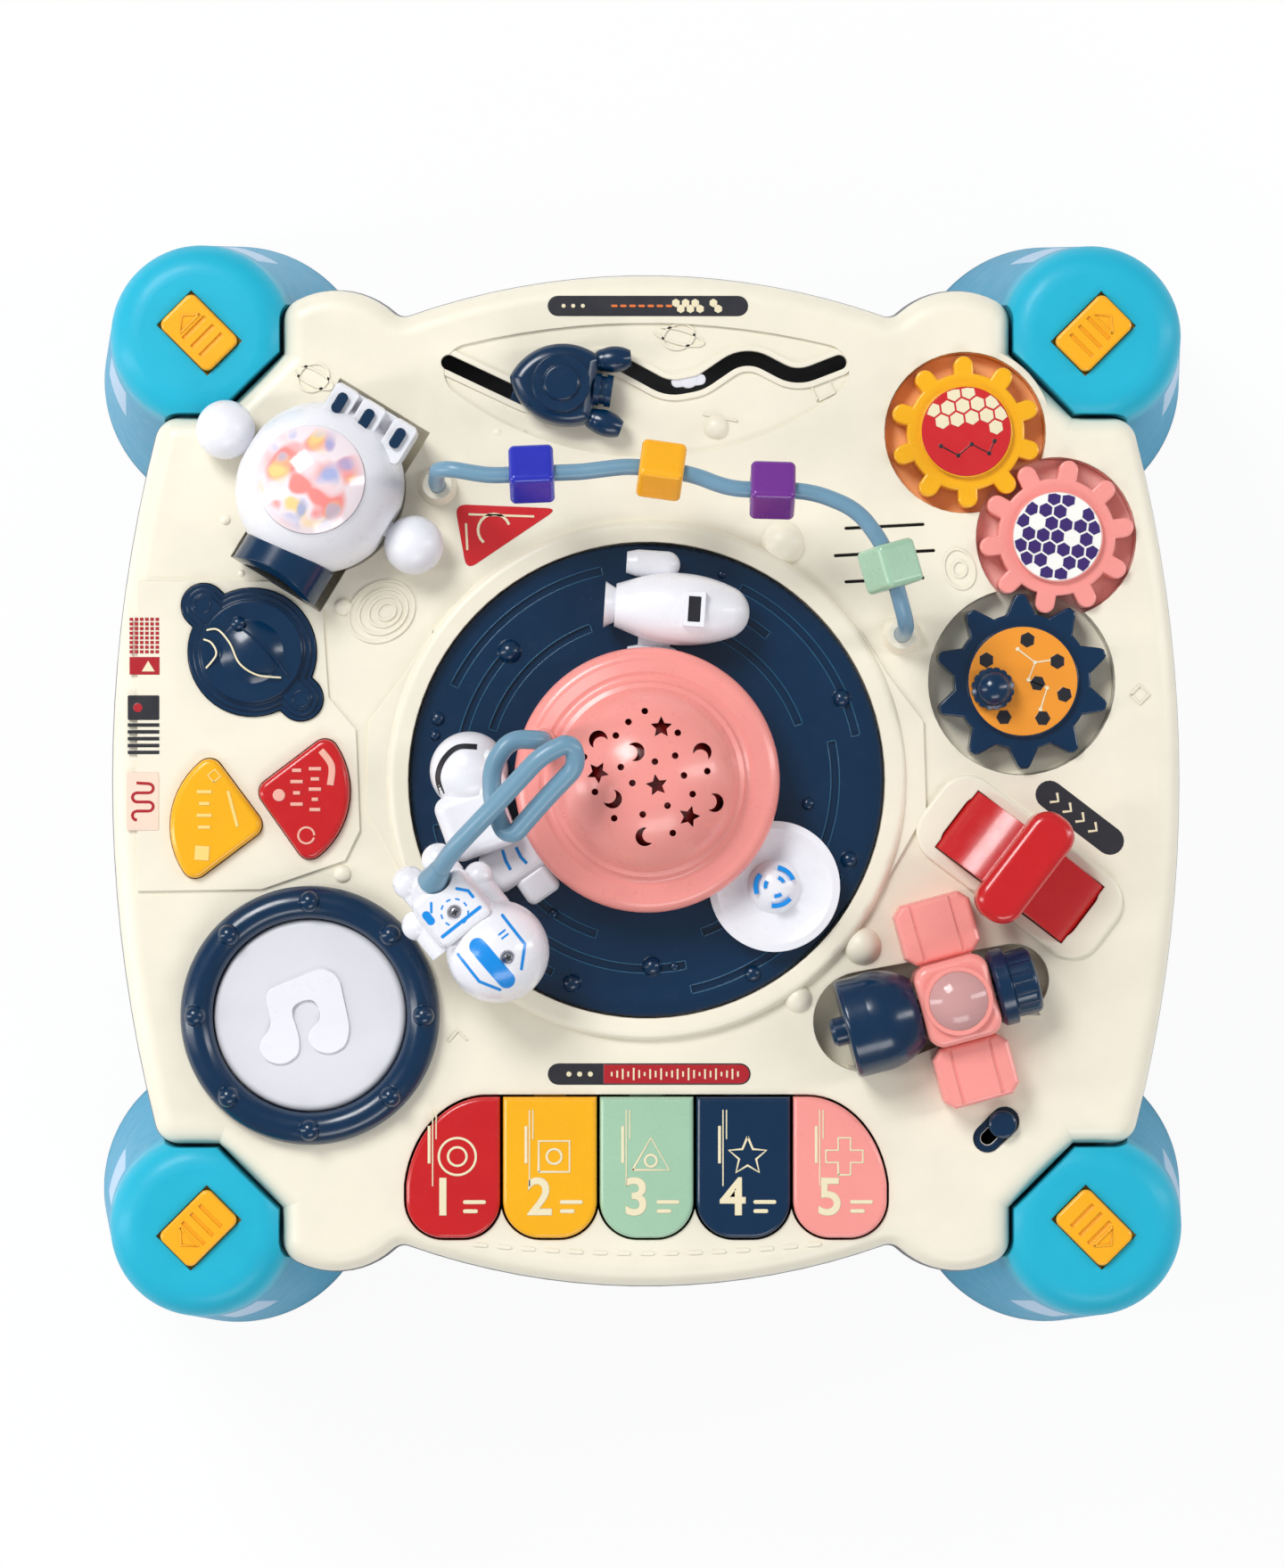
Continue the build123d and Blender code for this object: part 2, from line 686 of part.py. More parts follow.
def tether_route():
    low = brim_top - 1.0
    return [(-38.5, 14.2, low), (-38.5, 14.2, low + 29.0), (-50.0, 14.6, low + 33.0),
            (-56.8, 4.5, low + 33.0), (-56.4, -9.5, low + 33.5), (-50.6, -22.6, low + 35.0),
            (-38.0, -8.0, low + 41.0), (-25.6, 4.8, low + 45.5), (-27.6, 13.6, low + 48.5),
            (-38.5, 8.4, low + 49.5), (-57.0, -11.5, low + 45.5), (-71.5, -26.5, low + 35.0),
            (-78.5, -37.0, low + 17.5)]


def tether_radii():
    # each bend takes at most 0.42 of the shorter of its two runs
    route = [Vector(*point) for point in tether_route()]
    radii = []
    for before, corner, after in zip(route, route[1:], route[2:]):
        first = corner - before
        second = after - corner
        half_turn = radians(first.get_angle(second)) / 2
        radii.append(0.42 * min(first.length, second.length) / tan(half_turn))
    return radii


def tether_end():
    # plane at the tether's end, its normal along the last run
    route = tether_route()
    tip = Vector(*route[-1])
    back = Vector(*route[-2])
    return Plane(origin=tip, z_dir=(tip - back).normalized())


def tether_tube():
    route = tether_route()
    line = FilletPolyline(*route, radius=tether_radii())
    start = Plane(origin=route[0], z_dir=Vector(*route[1]) - Vector(*route[0]))
    tube = sweep(start * Circle(tether_radius), path=line)
    flare = tether_end() * Pos(0, 0, -4.5) * Cone(tether_radius + 0.1, tether_flare, 11.0)
    return tube + flare


def astronaut_place():
    return Pos(astronaut_x, astronaut_y, disc_top() + astronaut_rise) * Rot(0, 0, degrees(atan2(-0.785, 0.62)))


def astronaut_whole():
    # +X from boots to helmet, the backpack on top
    helmet = Pos(18.0, 3.0, 0) * Sphere(astronaut_helmet)
    torso = Pos(-5.0, 0, 0) * fillet(Box(24, 25, 22).edges(), 6.0)
    shape = helmet + torso
    for side in (-1, 1):
        arm = Pos(-1.0, side * 13.0, -1.0) * Rot(0, 90, side * -12) * Cylinder(5.0, 14)
        shape += arm + Pos(-8.0, side * 14.5, -1.0) * Sphere(5.6)
        leg = Pos(-18.0, side * 6.8, 2.0) * Rot(0, 90, 0) * Cylinder(5.4, 8)
        shape += leg + Pos(-22.0, side * 6.8, 2.5) * Sphere(6.2)
    return shape


def astronaut_front():
    lower = Box(120, 120, 60)
    return astronaut_place() * (astronaut_whole() & Pos(0, 0, -30) * lower)


def astronaut_back():
    upper = Box(120, 120, 60)
    half = astronaut_whole() & Pos(0, 0, 30) * upper
    half += Pos(-5.0, 0, 11.0) * fillet(Box(21, 22, 9).edges(), 2.5)
    for x, y, well_top in ((-3.0, 0.0, 16.5), (22.0, 5.0, 19.0)):
        half -= Pos(x, y, well_top) * Cylinder(2.8, 6)
    # seat of the tether's end on a stub
    half = astronaut_place() * half
    half -= tether_end() * Pos(0, 0, -9.0) * Cylinder(tether_flare + slide_gap, 20.0 + 2 * run_fit)
    stub = tether_end() * Pos(0, 0, 1.0 + run_fit + 4.5) * Cylinder(tether_flare + 0.4, 9.0)
    return half + stub


# ---------------------------------------------------------------- dome

def dome_arc(inset):
    edge = step_radius - 2.0
    rise = dome_top - step_top
    cap = (edge ** 2 + rise ** 2) / (2 * rise)
    centre = dome_top - cap
    full = atan2(edge, cap - rise)
    radius = cap - inset
    start = (radius * sin(full), centre + radius * cos(full))
    mid = (radius * sin(full / 2), centre + radius * cos(full / 2))
    return start, mid, (0, centre + radius)


def projector_dome():
    start, mid, top = dome_arc(0)
    inner_start, inner_mid, inner_top = dome_arc(dome_wall)
    brim_mid_z = (brim_bottom + brim_top) / 2
    edges = [
        Line((stem_radius - dome_wall, disc_top()), (stem_radius, disc_top())),
        Line((stem_radius, disc_top()), (stem_radius, brim_bottom)),
        Line((stem_radius, brim_bottom), (brim_radius - 5.0, brim_bottom)),
        ThreePointArc((brim_radius - 5.0, brim_bottom), (brim_radius, brim_mid_z), (brim_radius - 5.0, brim_top)),
        Line((brim_radius - 5.0, brim_top), (step_radius + 4.0, brim_top + 1.0)),
        ThreePointArc((step_radius + 4.0, brim_top + 1.0), (step_radius + 1.0, brim_top + 1.6),
                      (step_radius, brim_top + 3.5)),
        Line((step_radius, brim_top + 3.5), (step_radius, step_top - 0.8)),
        Line((step_radius, step_top - 0.8), start),
        ThreePointArc(start, mid, top),
        Line(top, inner_top),
        ThreePointArc(inner_top, inner_mid, inner_start),
        Line(inner_start, (stem_radius - dome_wall, brim_top + 1.0)),
        Line((stem_radius - dome_wall, brim_top + 1.0), (stem_radius - dome_wall, disc_top()))]
    shell = turned(*edges)
    x, y, low = tether_route()[0]
    shell += disc(tether_radius + 1.4, low - 2.0, low + 5.0, x, y)
    shell -= disc(tether_radius + run_fit, low, low + 6.0, x, y)
    for face in dome_hole_faces():
        shell -= prism(face, step_top - 4, dome_top + 2)
    return shell


def star_face(x, y, size, turn):
    points = []
    for step in range(10):
        radius = size if step % 2 == 0 else size * 0.48
        angle = radians(turn + 36.0 * step)
        points.append((x + radius * cos(angle), y + radius * sin(angle)))
    return make_face(Polyline(*points, close=True))


def moon_face(x, y, size, turn):
    shift = size * 0.62
    bite = Pos(x + shift * cos(radians(turn)), y + shift * sin(radians(turn))) * Circle(size * 0.86)
    return Pos(x, y) * Circle(size) - bite


def dome_hole_faces():
    faces = []
    for x, y, turn in ((5.0, 19.0, 90), (-18.2, 2.5, 60), (3.3, -2.2, 100), (15.2, -13.6, 75)):
        faces.append(star_face(x, y, star_size, turn))
    for x, y, turn in ((-18.0, 14.5, -60), (-4.5, 10.0, 190), (20.0, 10.0, 250), (-12.8, -7.2, 140),
                       (24.5, -8.5, 170), (-1.0, -21.0, 20)):
        faces.append(moon_face(x, y, moon_size, turn))
    for x, y in ((-1.0, 25.0), (-7.0, 21.0), (-11.6, 16.0), (11.0, 17.0), (-23.2, 8.2), (-9.8, 4.4),
                 (2.6, 6.4), (10.0, 8.6), (13.2, 1.4), (21.8, 3.0), (-5.6, -1.4), (16.4, -5.4),
                 (-19.2, -4.6), (7.2, -9.6), (-1.8, -12.8), (-12.2, -14.2), (9.2, -19.6)):
        faces.append(Pos(x, y) * Circle(hole_radius))
    return faces


def dome_lens():
    start, mid, top = dome_arc(dome_wall + 0.6)
    radius = stem_radius - dome_wall - 0.4
    edges = [Line((0, spindle_top), (radius, spindle_top)),
             Line((radius, spindle_top), (radius, brim_top)),
             Line((radius, brim_top), (start[0] - 1.5, start[1] - 1.5)),
             Line((start[0] - 1.5, start[1] - 1.5), start),
             ThreePointArc(start, mid, top),
             Line(top, (0, spindle_top))]
    return turned(*edges)


# ---------------------------------------------------------------- keys, drum and buttons

def key_tail_x(index):
    centre = (index - 2) * key_pitch
    limit = shoulder_x + 1.9
    return max(-limit, min(limit, centre))


def piano_key(index):
    body = prism(key_face(index), key_bottom, key_top)
    body = softened(body, key_top, 1.8)
    tail = block(12.0, 17.0, key_pin_z - 3.0, key_pin_z + 3.0, key_tail_x(index), key_pin_y - 4.0)
    bore = Pos(0, key_pin_y, key_pin_z) * Rot(0, 90, 0) * Cylinder(key_pin_radius + run_fit, 200)
    return (body + tail) - bore


def key_pin():
    return Pos(0, key_pin_y, key_pin_z) * Rot(0, 90, 0) * Cylinder(key_pin_radius, 162)


def drum_ring():
    inner = drum_head_radius + button_gap
    top = drum_rise
    ring = turned(Line((inner, 0), (drum_outer, 0)), Line((drum_outer, 0), (drum_outer, 3.0)),
                  ThreePointArc((drum_outer, 3.0), (drum_outer - 2.4, top - 1.6), (drum_outer - 6.0, top)),
                  ThreePointArc((drum_outer - 6.0, top), (inner + 2.0, top - 1.5), (inner, top - 4.5)),
                  Line((inner, top - 4.5), (inner, 0)))
    for step in range(rivet_count):
        angle = radians(step * 360.0 / rivet_count)
        ring += bump(rivet_radius, rivet_circle * cos(angle), rivet_circle * sin(angle), top - 0.6, 3.4)
    return Pos(drum_x, drum_y, panel_z) * ring


def drum_head():
    flange_top = panel_z - wall - button_gap
    head = disc(drum_head_radius, flange_top - 1, panel_z + 4.0, drum_x, drum_y)
    head = softened(head, panel_z + 4.0, 2.5)
    return head + disc(drum_head_radius + 2.0, flange_top - 4.0, flange_top, drum_x, drum_y)


def planet_button():
    flange_top = panel_z - wall - button_gap
    button = prism(planet_face(0), flange_top - 1, panel_z + 2.6)
    flange = prism(planet_face(1.6), flange_top - 3.0, flange_top)
    button += flange - rattle_band(pit_clear + cup_wall + slide_gap)
    button += prism(planet_face(-2.0), panel_z + 2.0, panel_z + 4.0)
    button += prism(planet_face(-4.0), panel_z + 3.0, panel_z + 5.2)
    dome_radius = planet_radius - 5.0
    dome = disc(dome_radius, panel_z + 4.0, panel_z + 7.0, planet_x, planet_y)
    dome += bump(dome_radius * 1.2, planet_x, planet_y, panel_z + 4.0, 6.4) & disc(dome_radius, panel_z, panel_z + 12, planet_x, planet_y)
    return button + dome


def corner_button(face):
    flange_top = panel_z - wall - button_gap
    button = softened(prism(face, flange_top - 1, panel_z + 5.0), panel_z + 5.0, 2.2)
    return button + prism(grown(face, 1.8), flange_top - 3.0, flange_top)


# ---------------------------------------------------------------- gears

def finger_gear(x, y, tip, root, face_radius, phase):
    width = 7.3
    profile = Circle(root)
    for step in range(gear_teeth):
        turn = phase + step * 360.0 / gear_teeth
        tooth = Rot(0, 0, turn) * Pos((tip + 12.0) / 2, 0) * SlotOverall(tip - 12.0, width)
        profile += tooth
    gear = softened(prism(profile, 0, gear_top - gear_z), gear_top - gear_z, 1.0)
    gear += disc(face_radius, 1, gear_top - gear_z + sticker_rise)
    gear -= disc(axle_radius + run_fit, -1, panel_z + 1.5 - gear_z)
    return Pos(x, y, gear_z) * gear


def pointed_gear(x, y, tip, root, face_radius, phase):
    profile = Circle(root)
    for step in range(gear_teeth):
        turn = phase + step * 360.0 / gear_teeth
        tooth = make_face(Polyline((root - 4, -6.2), (root - 0.4, -5.4), (tip - 1.0, -2.2), (tip, -1.2),
                                   (tip, 1.2), (tip - 1.0, 2.2), (root - 0.4, 5.4), (root - 4, 6.2), close=True))
        profile += Rot(0, 0, turn) * tooth
    gear = softened(prism(profile, 0, gear_top - gear_z), gear_top - gear_z, 0.8)
    gear += disc(face_radius, 1, gear_top - gear_z + sticker_rise)
    gear -= disc(axle_radius + run_fit, -1, panel_z + 1.5 - gear_z)
    gear = Pos(x, y, gear_z) * gear
    gear += disc(knob_pin_radius, gear_top + sticker_rise - 0.5, gear_top + sticker_rise + 5.0, knob_x, knob_y)
    return gear


def crank_knob():
    base = gear_top + sticker_rise + slide_gap
    body = turned(Line((0, 0), (knob_radius, 0)), Line((knob_radius, 0), (knob_radius, 4.0)),
                  Line((knob_radius, 4.0), (knob_radius - 1.6, 5.0)),
                  Line((knob_radius - 1.6, 5.0), (knob_radius - 2.0, 9.0)),
                  cap_arc(knob_radius - 2.0, 9.0, 12.6), Line((0, 12.6), (0, 0)))
    for step in range(16):
        angle = step * 22.5
        body -= Rot(0, 0, angle) * Pos(knob_radius + 0.3, 0, 2.0) * Cylinder(0.8, 6)
    body -= disc(knob_pin_radius + run_fit, -1, 5.2)
    return Pos(knob_x, knob_y, base) * body


# ---------------------------------------------------------------- bead rail

def rail_feet():
    return [(-78.0, 110.0), (95.2, 54.3)]


def rail_route():
    start, end = rail_feet()
    low = panel_z - 2.0
    return [(start[0], start[1], low), (start[0], start[1], rail_top - 26.0),
            (start[0] + 1.5, start[1] + 4.0, rail_top), (-58.0, 110.8, rail_top),
            (-24.0, 112.2, rail_top), (-6.0, 114.4, rail_top), (16.0, 111.4, rail_top),
            (30.0, 106.0, rail_top), (60.0, 105.2, rail_top), (76.5, 98.5, rail_top),
            (86.5, 85.0, rail_top), (91.5, 68.0, rail_top), (95.0, 56.5, rail_top - 8.0),
            (end[0], end[1], rail_top - 26.0), (end[0], end[1], low)]


def bead_rail():
    route = rail_route()
    return bent_rod(route, rail_radius)


def bent_rod(route, radius):
    points = [Vector(*point) for point in route]
    radii = []
    for before, corner, after in zip(points, points[1:], points[2:]):
        first = corner - before
        second = after - corner
        half_turn = radians(first.get_angle(second)) / 2
        radii.append(min(45.0, 0.42 * min(first.length, second.length) / tan(half_turn)))
    line = FilletPolyline(*route, radius=radii)
    start = Plane(origin=route[0], z_dir=points[1] - points[0])
    return sweep(start * Circle(radius), path=line)


def bead(x, y, angle):
    # a rounded block threaded on the rail; it hangs on the top of its bore
    drop = bead_bore - rail_radius - bead_lift
    cube = Box(bead_side, bead_side, bead_side)
    cube = fillet(cube.edges(), 2.2)
    cube -= Rot(0, 90, 0) * Cylinder(bead_bore, bead_side + 4)
    return Pos(x, y, rail_top - drop) * Rot(0, 0, angle) * Rot(bead_tilt, 0, 0) * cube


def rail_heading(first):
    # direction in degrees of one run of the rail seen from above
    route = rail_route()
    return degrees(atan2(route[first + 1][1] - route[first][1], route[first + 1][0] - route[first][0]))


def rail_point(first, share):
    route = rail_route()
    x = route[first][0] + share * (route[first + 1][0] - route[first][0])
    y = route[first][1] + share * (route[first + 1][1] - route[first][1])
    return x, y


# ---------------------------------------------------------------- rattle roller

def rattle_frame(turn=0.0):
    return lying(rattle_x, rattle_y, rattle_z, rattle_angle) * Rot(0, 0, turn)


def rattle_cover():
    # everything within the swept reach of the roller's axis
    return Cylinder(rattle_reach, 80.0)


def rattle_body():
    body = revolve(Plane.XZ * rattle_profile(0), Axis.Z)
    room = revolve(Plane.XZ * rattle_profile(-2.6), Axis.Z)
    # deck and fins at the rear; local -X points up
    skirt = Pos(-2.0, 29.0, (band_start + band_end) / 2) * Box(8.0, 16.0, band_end - band_start - 2.0)
    body += fillet(skirt.edges().filter_by(Axis.X), 3.0) & rattle_cover()
    for z in fin_places:
        fin = fillet((Pos(-5.0, 29.0, z) * Box(20.0, 16.0, fin_width)).edges().filter_by(Axis.X), 2.0)
        body += fin & rattle_cover()
    body -= room
    opening = Pos(-20, 0, 0) * Rot(0, 90, 0) * Cylinder(20.0, 40)
    body -= opening
    body -= Cylinder(pin_radius + run_fit, 200)
    return rattle_frame() * body


def rattle_window():
    sphere = revolve(Plane.XZ * rattle_profile(0.8), Axis.Z)
    room = revolve(Plane.XZ * rattle_profile(-2.2), Axis.Z)
    plug = Pos(-20, 0, 0) * Rot(0, 90, 0) * Cylinder(20.0 - run_fit, 40)
    return rattle_frame() * ((sphere - room) & plug)


def rattle_beads():
    parts = []
    for x, y, z in ((-18.5, -8.0, -7.0), (-20.5, 1.0, 2.0), (-18.0, 9.5, -4.0), (-18.5, -3.0, 11.0),
                    (-17.0, 8.5, 8.0), (-16.5, -11.0, 4.5), (-18.5, 2.0, -12.0)):
        parts.append(rattle_frame() * Pos(x, y, z) * Sphere(4.6))
    return Compound(children=parts)


def rattle_trim():
    shell = revolve(Plane.XZ * rattle_profile(0.02), Axis.Z)
    pieces = []
    for z in fin_places:
        prong = Pos(-16.0, 30.0, z) * Box(2.0, 8.0, 4.0)
        prong = fillet(prong.edges().filter_by(Axis.X), 1.8)
        pieces.append((prong & rattle_cover()) - shell)
    nozzle = Pos(0, -32.0, nozzle_shift) * Rot(90, 0, 0) * Cylinder(nozzle_radius, 14.0)
    nozzle -= Pos(0, -39.0, nozzle_shift) * Rot(90, 0, 0) * Cylinder(nozzle_radius - 5.0, 6.0)
    pieces.append((nozzle & rattle_cover()) - shell)
    return Compound(children=[rattle_frame() * piece for piece in pieces])


def rattle_posts():
    parts = []
    pin = lying(rattle_x, rattle_y, rattle_z, rattle_angle)
    tail_gap = rattle_tail - slide_gap
    nose_gap = rattle_nose + slide_gap
    for centre, face, sign in ((ball_back, tail_gap, -1), (ball_front, nose_gap, 1)):
        along = cos(radians(rattle_angle)) * centre
        across = sin(radians(rattle_angle)) * centre
        x = rattle_x + along
        y = rattle_y + across
        ball = Pos(x, y, rattle_z) * Sphere(ball_radius)
        post = disc(6.5, panel_z, rattle_z, x, y)
        end = (face - sign * 7.0)
        mid = (centre + end) / 2
        shaft = pin * Pos(0, 0, mid) * Cylinder(pin_radius, abs(centre - end))
        parts.append((ball + post + shaft) & block(60, 60, panel_z, rattle_z + 20, x, y))
    return Compound(children=parts)


# ---------------------------------------------------------------- slider, lever, station, switch

def slider_rocket():
    base = panel_z + slide_gap
    heading = 172.0
    hull = Pos(rocket_x, rocket_y, base) * Rot(0, 0, heading) * rocket_hull()
    stem = disc(slot_half_width - slide_gap, panel_z - wall - 1.0, base + 3.0, slider_pin_x, slider_pin_y)
    keeper = disc(slot_half_width + 3.0, panel_z - wall - 3.2, panel_z - wall - 0.5, slider_pin_x, slider_pin_y)
    return hull + stem + keeper


def rocket_hull():
    outline = make_face([
        ThreePointArc((-12.0, -12.0), (4.0, -14.8), (20.5, 0)),
        ThreePointArc((20.5, 0), (4.0, 14.8), (-12.0, 12.0)),
        Line((-12.0, 12.0), (-12.0, -12.0))])
    outline = fillet(outline.vertices(), 2.0)
    hull = softened(prism(outline, 0, 12.0), 12.0, 5.0)
    window = disc(10.7, 11.0, 13.6, 1.0, 0)
    window += disc(6.7, 13.0, 15.0, 1.0, 0)
    hull += softened(window, 15.0, 1.0)
    pod = revolve(Plane.XZ * make_face([
        Line((0, -7.5), (3.0, -7.5)), ThreePointArc((3.0, -7.5), (4.9, -2.0), (4.2, 3.0)),
        cap_arc(4.2, 3.0, 7.0), Line((0, 7.0), (0, -7.5))]), Axis.Z)
    for side in (-1, 1):
        hull += Pos(-16.0, side * 11.8, 4.9) * Rot(0, 0, side * -12) * Rot(0, 90, 0) * pod
    for step in range(3):
        hull += Pos(-12.4 - 2.2 * step, 0, 5.5) * Rot(0, 90, 0) * Cylinder(6.0 - 0.7 * (step % 2), 2.4)
    return hull & block(80, 60, 0, 40)


def lever():
    place = Pos(lever_x, lever_y, lever_axis_z) * Rot(0, 0, lever_angle)
    barrel = Rot(90, 0, 0) * Cylinder(hood_radius, hood_width)
    inside = Rot(90, 0, 0) * Cylinder(hood_radius - 3.5, hood_width - 6.0)
    barrel -= Pos(0, 0, -50.0 + 4.0) * Box(100, 60, 100)
    barrel -= inside
    pins = Rot(90, 0, 0) * Cylinder(pin_radius, hood_width + 2 * (slide_gap + ear_thickness))
    cheek = Pos(0, 0, 6.0) * Box(16, hood_width, 16)
    cheek -= Pos(0, 0, 6.0) * Box(20, hood_width - 6.0, 20)
    rise = handle_top - lever_axis_z
    handle = Pos(0, 0, rise - 9.0) * Box(handle_width, handle_length, 18.0)
    handle = fillet(handle.edges().filter_by(Axis.Z), handle_width / 2 - 1.0)
    handle = softened(handle, rise, 4.0)
    handle = softened(handle, rise - 18.0, 3.0)
    handle -= Rot(90, 0, 0) * Cylinder(hood_radius - 2.0, hood_width - 6.0)
    return place * (barrel + cheek + pins + handle)


def station_frame():
    return lying(station_x, station_y, station_axis_z, station_angle)


def along_station(shift, aside):
    turn = radians(station_angle)
    x = station_x + shift * cos(turn) - aside * sin(turn)
    y = station_y + shift * sin(turn) + aside * cos(turn)
    return x, y


def station_body():
    hub = block(hub_length, hub_width, panel_z + slide_gap, panel_z + 23.0, station_x, station_y, station_angle)
    hub = fillet(hub.edges().filter_by(Axis.Z), 6.0)
    hub = softened(hub, panel_z + 23.0, 3.0)
    hub += block(hub_length, 22.0, panel_z - 8.0, panel_z + 5.0, station_x, station_y, station_angle)
    for aside in (arm_shift, -arm_shift):
        x, y = along_station(0, aside)
        arm = block(29.0, arm_length, panel_z, panel_z + 14.5, x, y, station_angle)
        arm = chamfer(arm.edges().filter_by(Axis.Z), 3.5)
        arm = softened(arm, panel_z + 14.5, 2.0)
        for shift in (-7.5, 7.5):
            rib_x, rib_y = along_station(shift, aside)
            arm -= block(1.0, arm_length + 2.0, panel_z + 14.0, panel_z + 15.0, rib_x, rib_y, station_angle)
        neck_x, neck_y = along_station(0, aside * 0.56)
        hub += arm + block(20.0, 12.0, panel_z, panel_z + 12.0, neck_x, neck_y, station_angle)
    hub += disc(12.7, panel_z + 20.0, panel_z + 25.0, station_x, station_y)
    hub -= disc(10.9, panel_z + 21.5, panel_z + 26.0, station_x, station_y)
    hub -= station_frame() * Cylinder(station_axle_radius + run_fit, 120)
    return hub


def station_lens():
    radius = 10.9 - run_fit
    lens = turned(Line((0, 0), (radius, 0)), Line((radius, 0), (radius, 3.5)), cap_arc(radius, 3.5, 8.0),
                  Line((0, 8.0), (0, 0)))
    return Pos(station_x, station_y, panel_z + 21.5) * lens


def station_roller():
    near = -hub_length / 2 - 0.8
    dome = revolve(Plane.XZ * make_face([
        Line((0, -48.0), (4.0, -48.0)), Line((4.0, -48.0), (5.4, -46.6)), Line((5.4, -46.6), (5.4, -42.6)),
        Line((5.4, -42.6), (16.8, -42.6)), ThreePointArc((16.8, -42.6), (18.1, -42.0), (roller_radius, -40.6)),
        Line((roller_radius, -40.6), (roller_radius, -33.4)),
        ThreePointArc((roller_radius, -33.4), (17.4, -23.0), (12.4, near)),
        Line((12.4, near), (0, near)), Line((0, near), (0, -48.0))]), Axis.Z)
    axle = Cylinder(station_axle_radius, 40)
    cap = revolve(Plane.XZ * make_face([
        Line((0, -near), (13.2, -near)), Line((13.2, -near), (14.4, -near + 1.2)),
        Line((14.4, -near + 1.2), (14.4, 20.6)), Line((14.4, 20.6), (12.4, 21.4)),
        Line((12.4, 21.4), (12.4, 28.6)), ThreePointArc((12.4, 28.6), (11.6, 30.2), (10.0, 30.8)),
        Line((10.0, 30.8), (0, 30.8)), Line((0, 30.8), (0, -near))]), Axis.Z)
    for step in range(18):
        cap -= Rot(0, 0, step * 20.0) * Pos(12.9, 0, 25.6) * Cylinder(0.9, 8)
    return station_frame() * (dome + axle + cap)


def switch_knob():
    shift = 2.2
    x = switch_x + shift
    y = switch_y + shift
    knob = softened(disc(5.2, panel_z - 2.0 + slide_gap, panel_z + 4.0, x, y), panel_z + 4.0, 1.2)
    knob += disc(2.2, panel_z - wall - 2.5, panel_z - 1.0, x, y)
    return knob + disc(4.4, panel_z - wall - 2.5, panel_z - wall - 0.5, x, y)


# ---------------------------------------------------------------- inside pieces

def circuit_board():
    return block(board_length, board_width, board_z, board_z + 1.6, 0, board_y)


def speaker():
    frame = disc(speaker_radius, panel_z - wall - 5.0, panel_z - wall, speaker_x, speaker_y)
    return frame + disc(11.0, panel_z - wall - 13.0, panel_z - wall - 4.0, speaker_x, speaker_y)


def batteries():
    parts = []
    for row in (-1, 0, 1):
        y = battery_y + row * (2 * battery_radius + 0.8)
        z = shoulder_z + door_thickness + battery_radius + 0.3
        parts.append(Pos(0, y, z) * Rot(0, 90, 0) * Cylinder(battery_radius, battery_length))
    return Compound(children=parts)


def battery_door():
    door = block(door_length - 0.8, door_width - 0.8, shoulder_z, shoulder_z + door_thickness, 0, battery_y)
    door = fillet(door.edges().filter_by(Axis.Z), 2.0)
    return door


# ---------------------------------------------------------------- export

def all_parts():
    parts = {
        "top_panel": top_panel(),
        "lower_housing": lower_housing(),
        "turntable_spindle": turntable_spindle(),
        "turntable": turntable(),
        "toy_rocket": toy_rocket(),
        "toy_dish": toy_dish(),
        "toy_capsule": toy_capsule(),
        "tether_tube": tether_tube(),
        "astronaut_front": astronaut_front(),
        "astronaut_back": astronaut_back(),
        "projector_dome": projector_dome(),
        "dome_lens": dome_lens(),
        "drum_ring": drum_ring(),
        "drum_head": drum_head(),
        "planet_button": planet_button(),
        "tone_button": corner_button(tone_face()),
        "mode_button": corner_button(mode_face()),
        "key_pin": key_pin(),
        "bead_rail": bead_rail(),
        "rattle_body": rattle_body(),
        "rattle_window": rattle_window(),
        "rattle_beads": rattle_beads(),
        "rattle_trim": rattle_trim(),
        "rattle_posts": rattle_posts(),
        "slider_rocket": slider_rocket(),
        "gear_yellow": finger_gear(119.2, 130.1, 28.3, 22.0, 17.2, 92.0),
        "gear_pink": finger_gear(153.2, 90.9, 28.9, 22.0, 17.0, 151.9),
        "gear_navy": pointed_gear(140.3, 36.9, 32.7, 25.5, 20.8, 91.2),
        "crank_knob": crank_knob(),
        "lever": lever(),
        "station_body": station_body(),
        "station_lens": station_lens(),
        "station_roller": station_roller(),
        "switch_knob": switch_knob(),
        "circuit_board": circuit_board(),
        "speaker": speaker(),
        "batteries": batteries(),
        "battery_door": battery_door(),
        "housing_screws": housing_screws(),
    }
    for index, name in enumerate(("red", "yellow", "sage", "navy", "pink")):
        parts["key_" + name] = piano_key(index)
    beads = {"blue": (3, 0.46), "orange": (5, 0.5), "purple": (7, 0.52), "green": (10, 0.42)}
    for name, (first, share) in beads.items():
        x, y = rail_point(first, share)
        parts["bead_" + name] = bead(x, y, rail_heading(first))
    leg = leg_body()
    latch = leg_latch()
    pad = foot_pad()
    for name, signs in corner_signs().items():
        parts["leg_" + name] = at_corner(leg, signs)
        parts["leg_latch_" + name] = at_corner(latch, signs)
        parts["foot_pad_" + name] = at_corner(pad, signs)
    return parts


def export_all():
    os.makedirs("parts", exist_ok=True)
    for name, shape in all_parts().items():
        export_step(shape, "parts/" + name + ".step")


if __name__ == "__main__":
    export_all()
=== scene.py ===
import json
from math import cos, hypot, pi, radians, sin

import bmesh
import bpy
from mathutils import Matrix, Vector


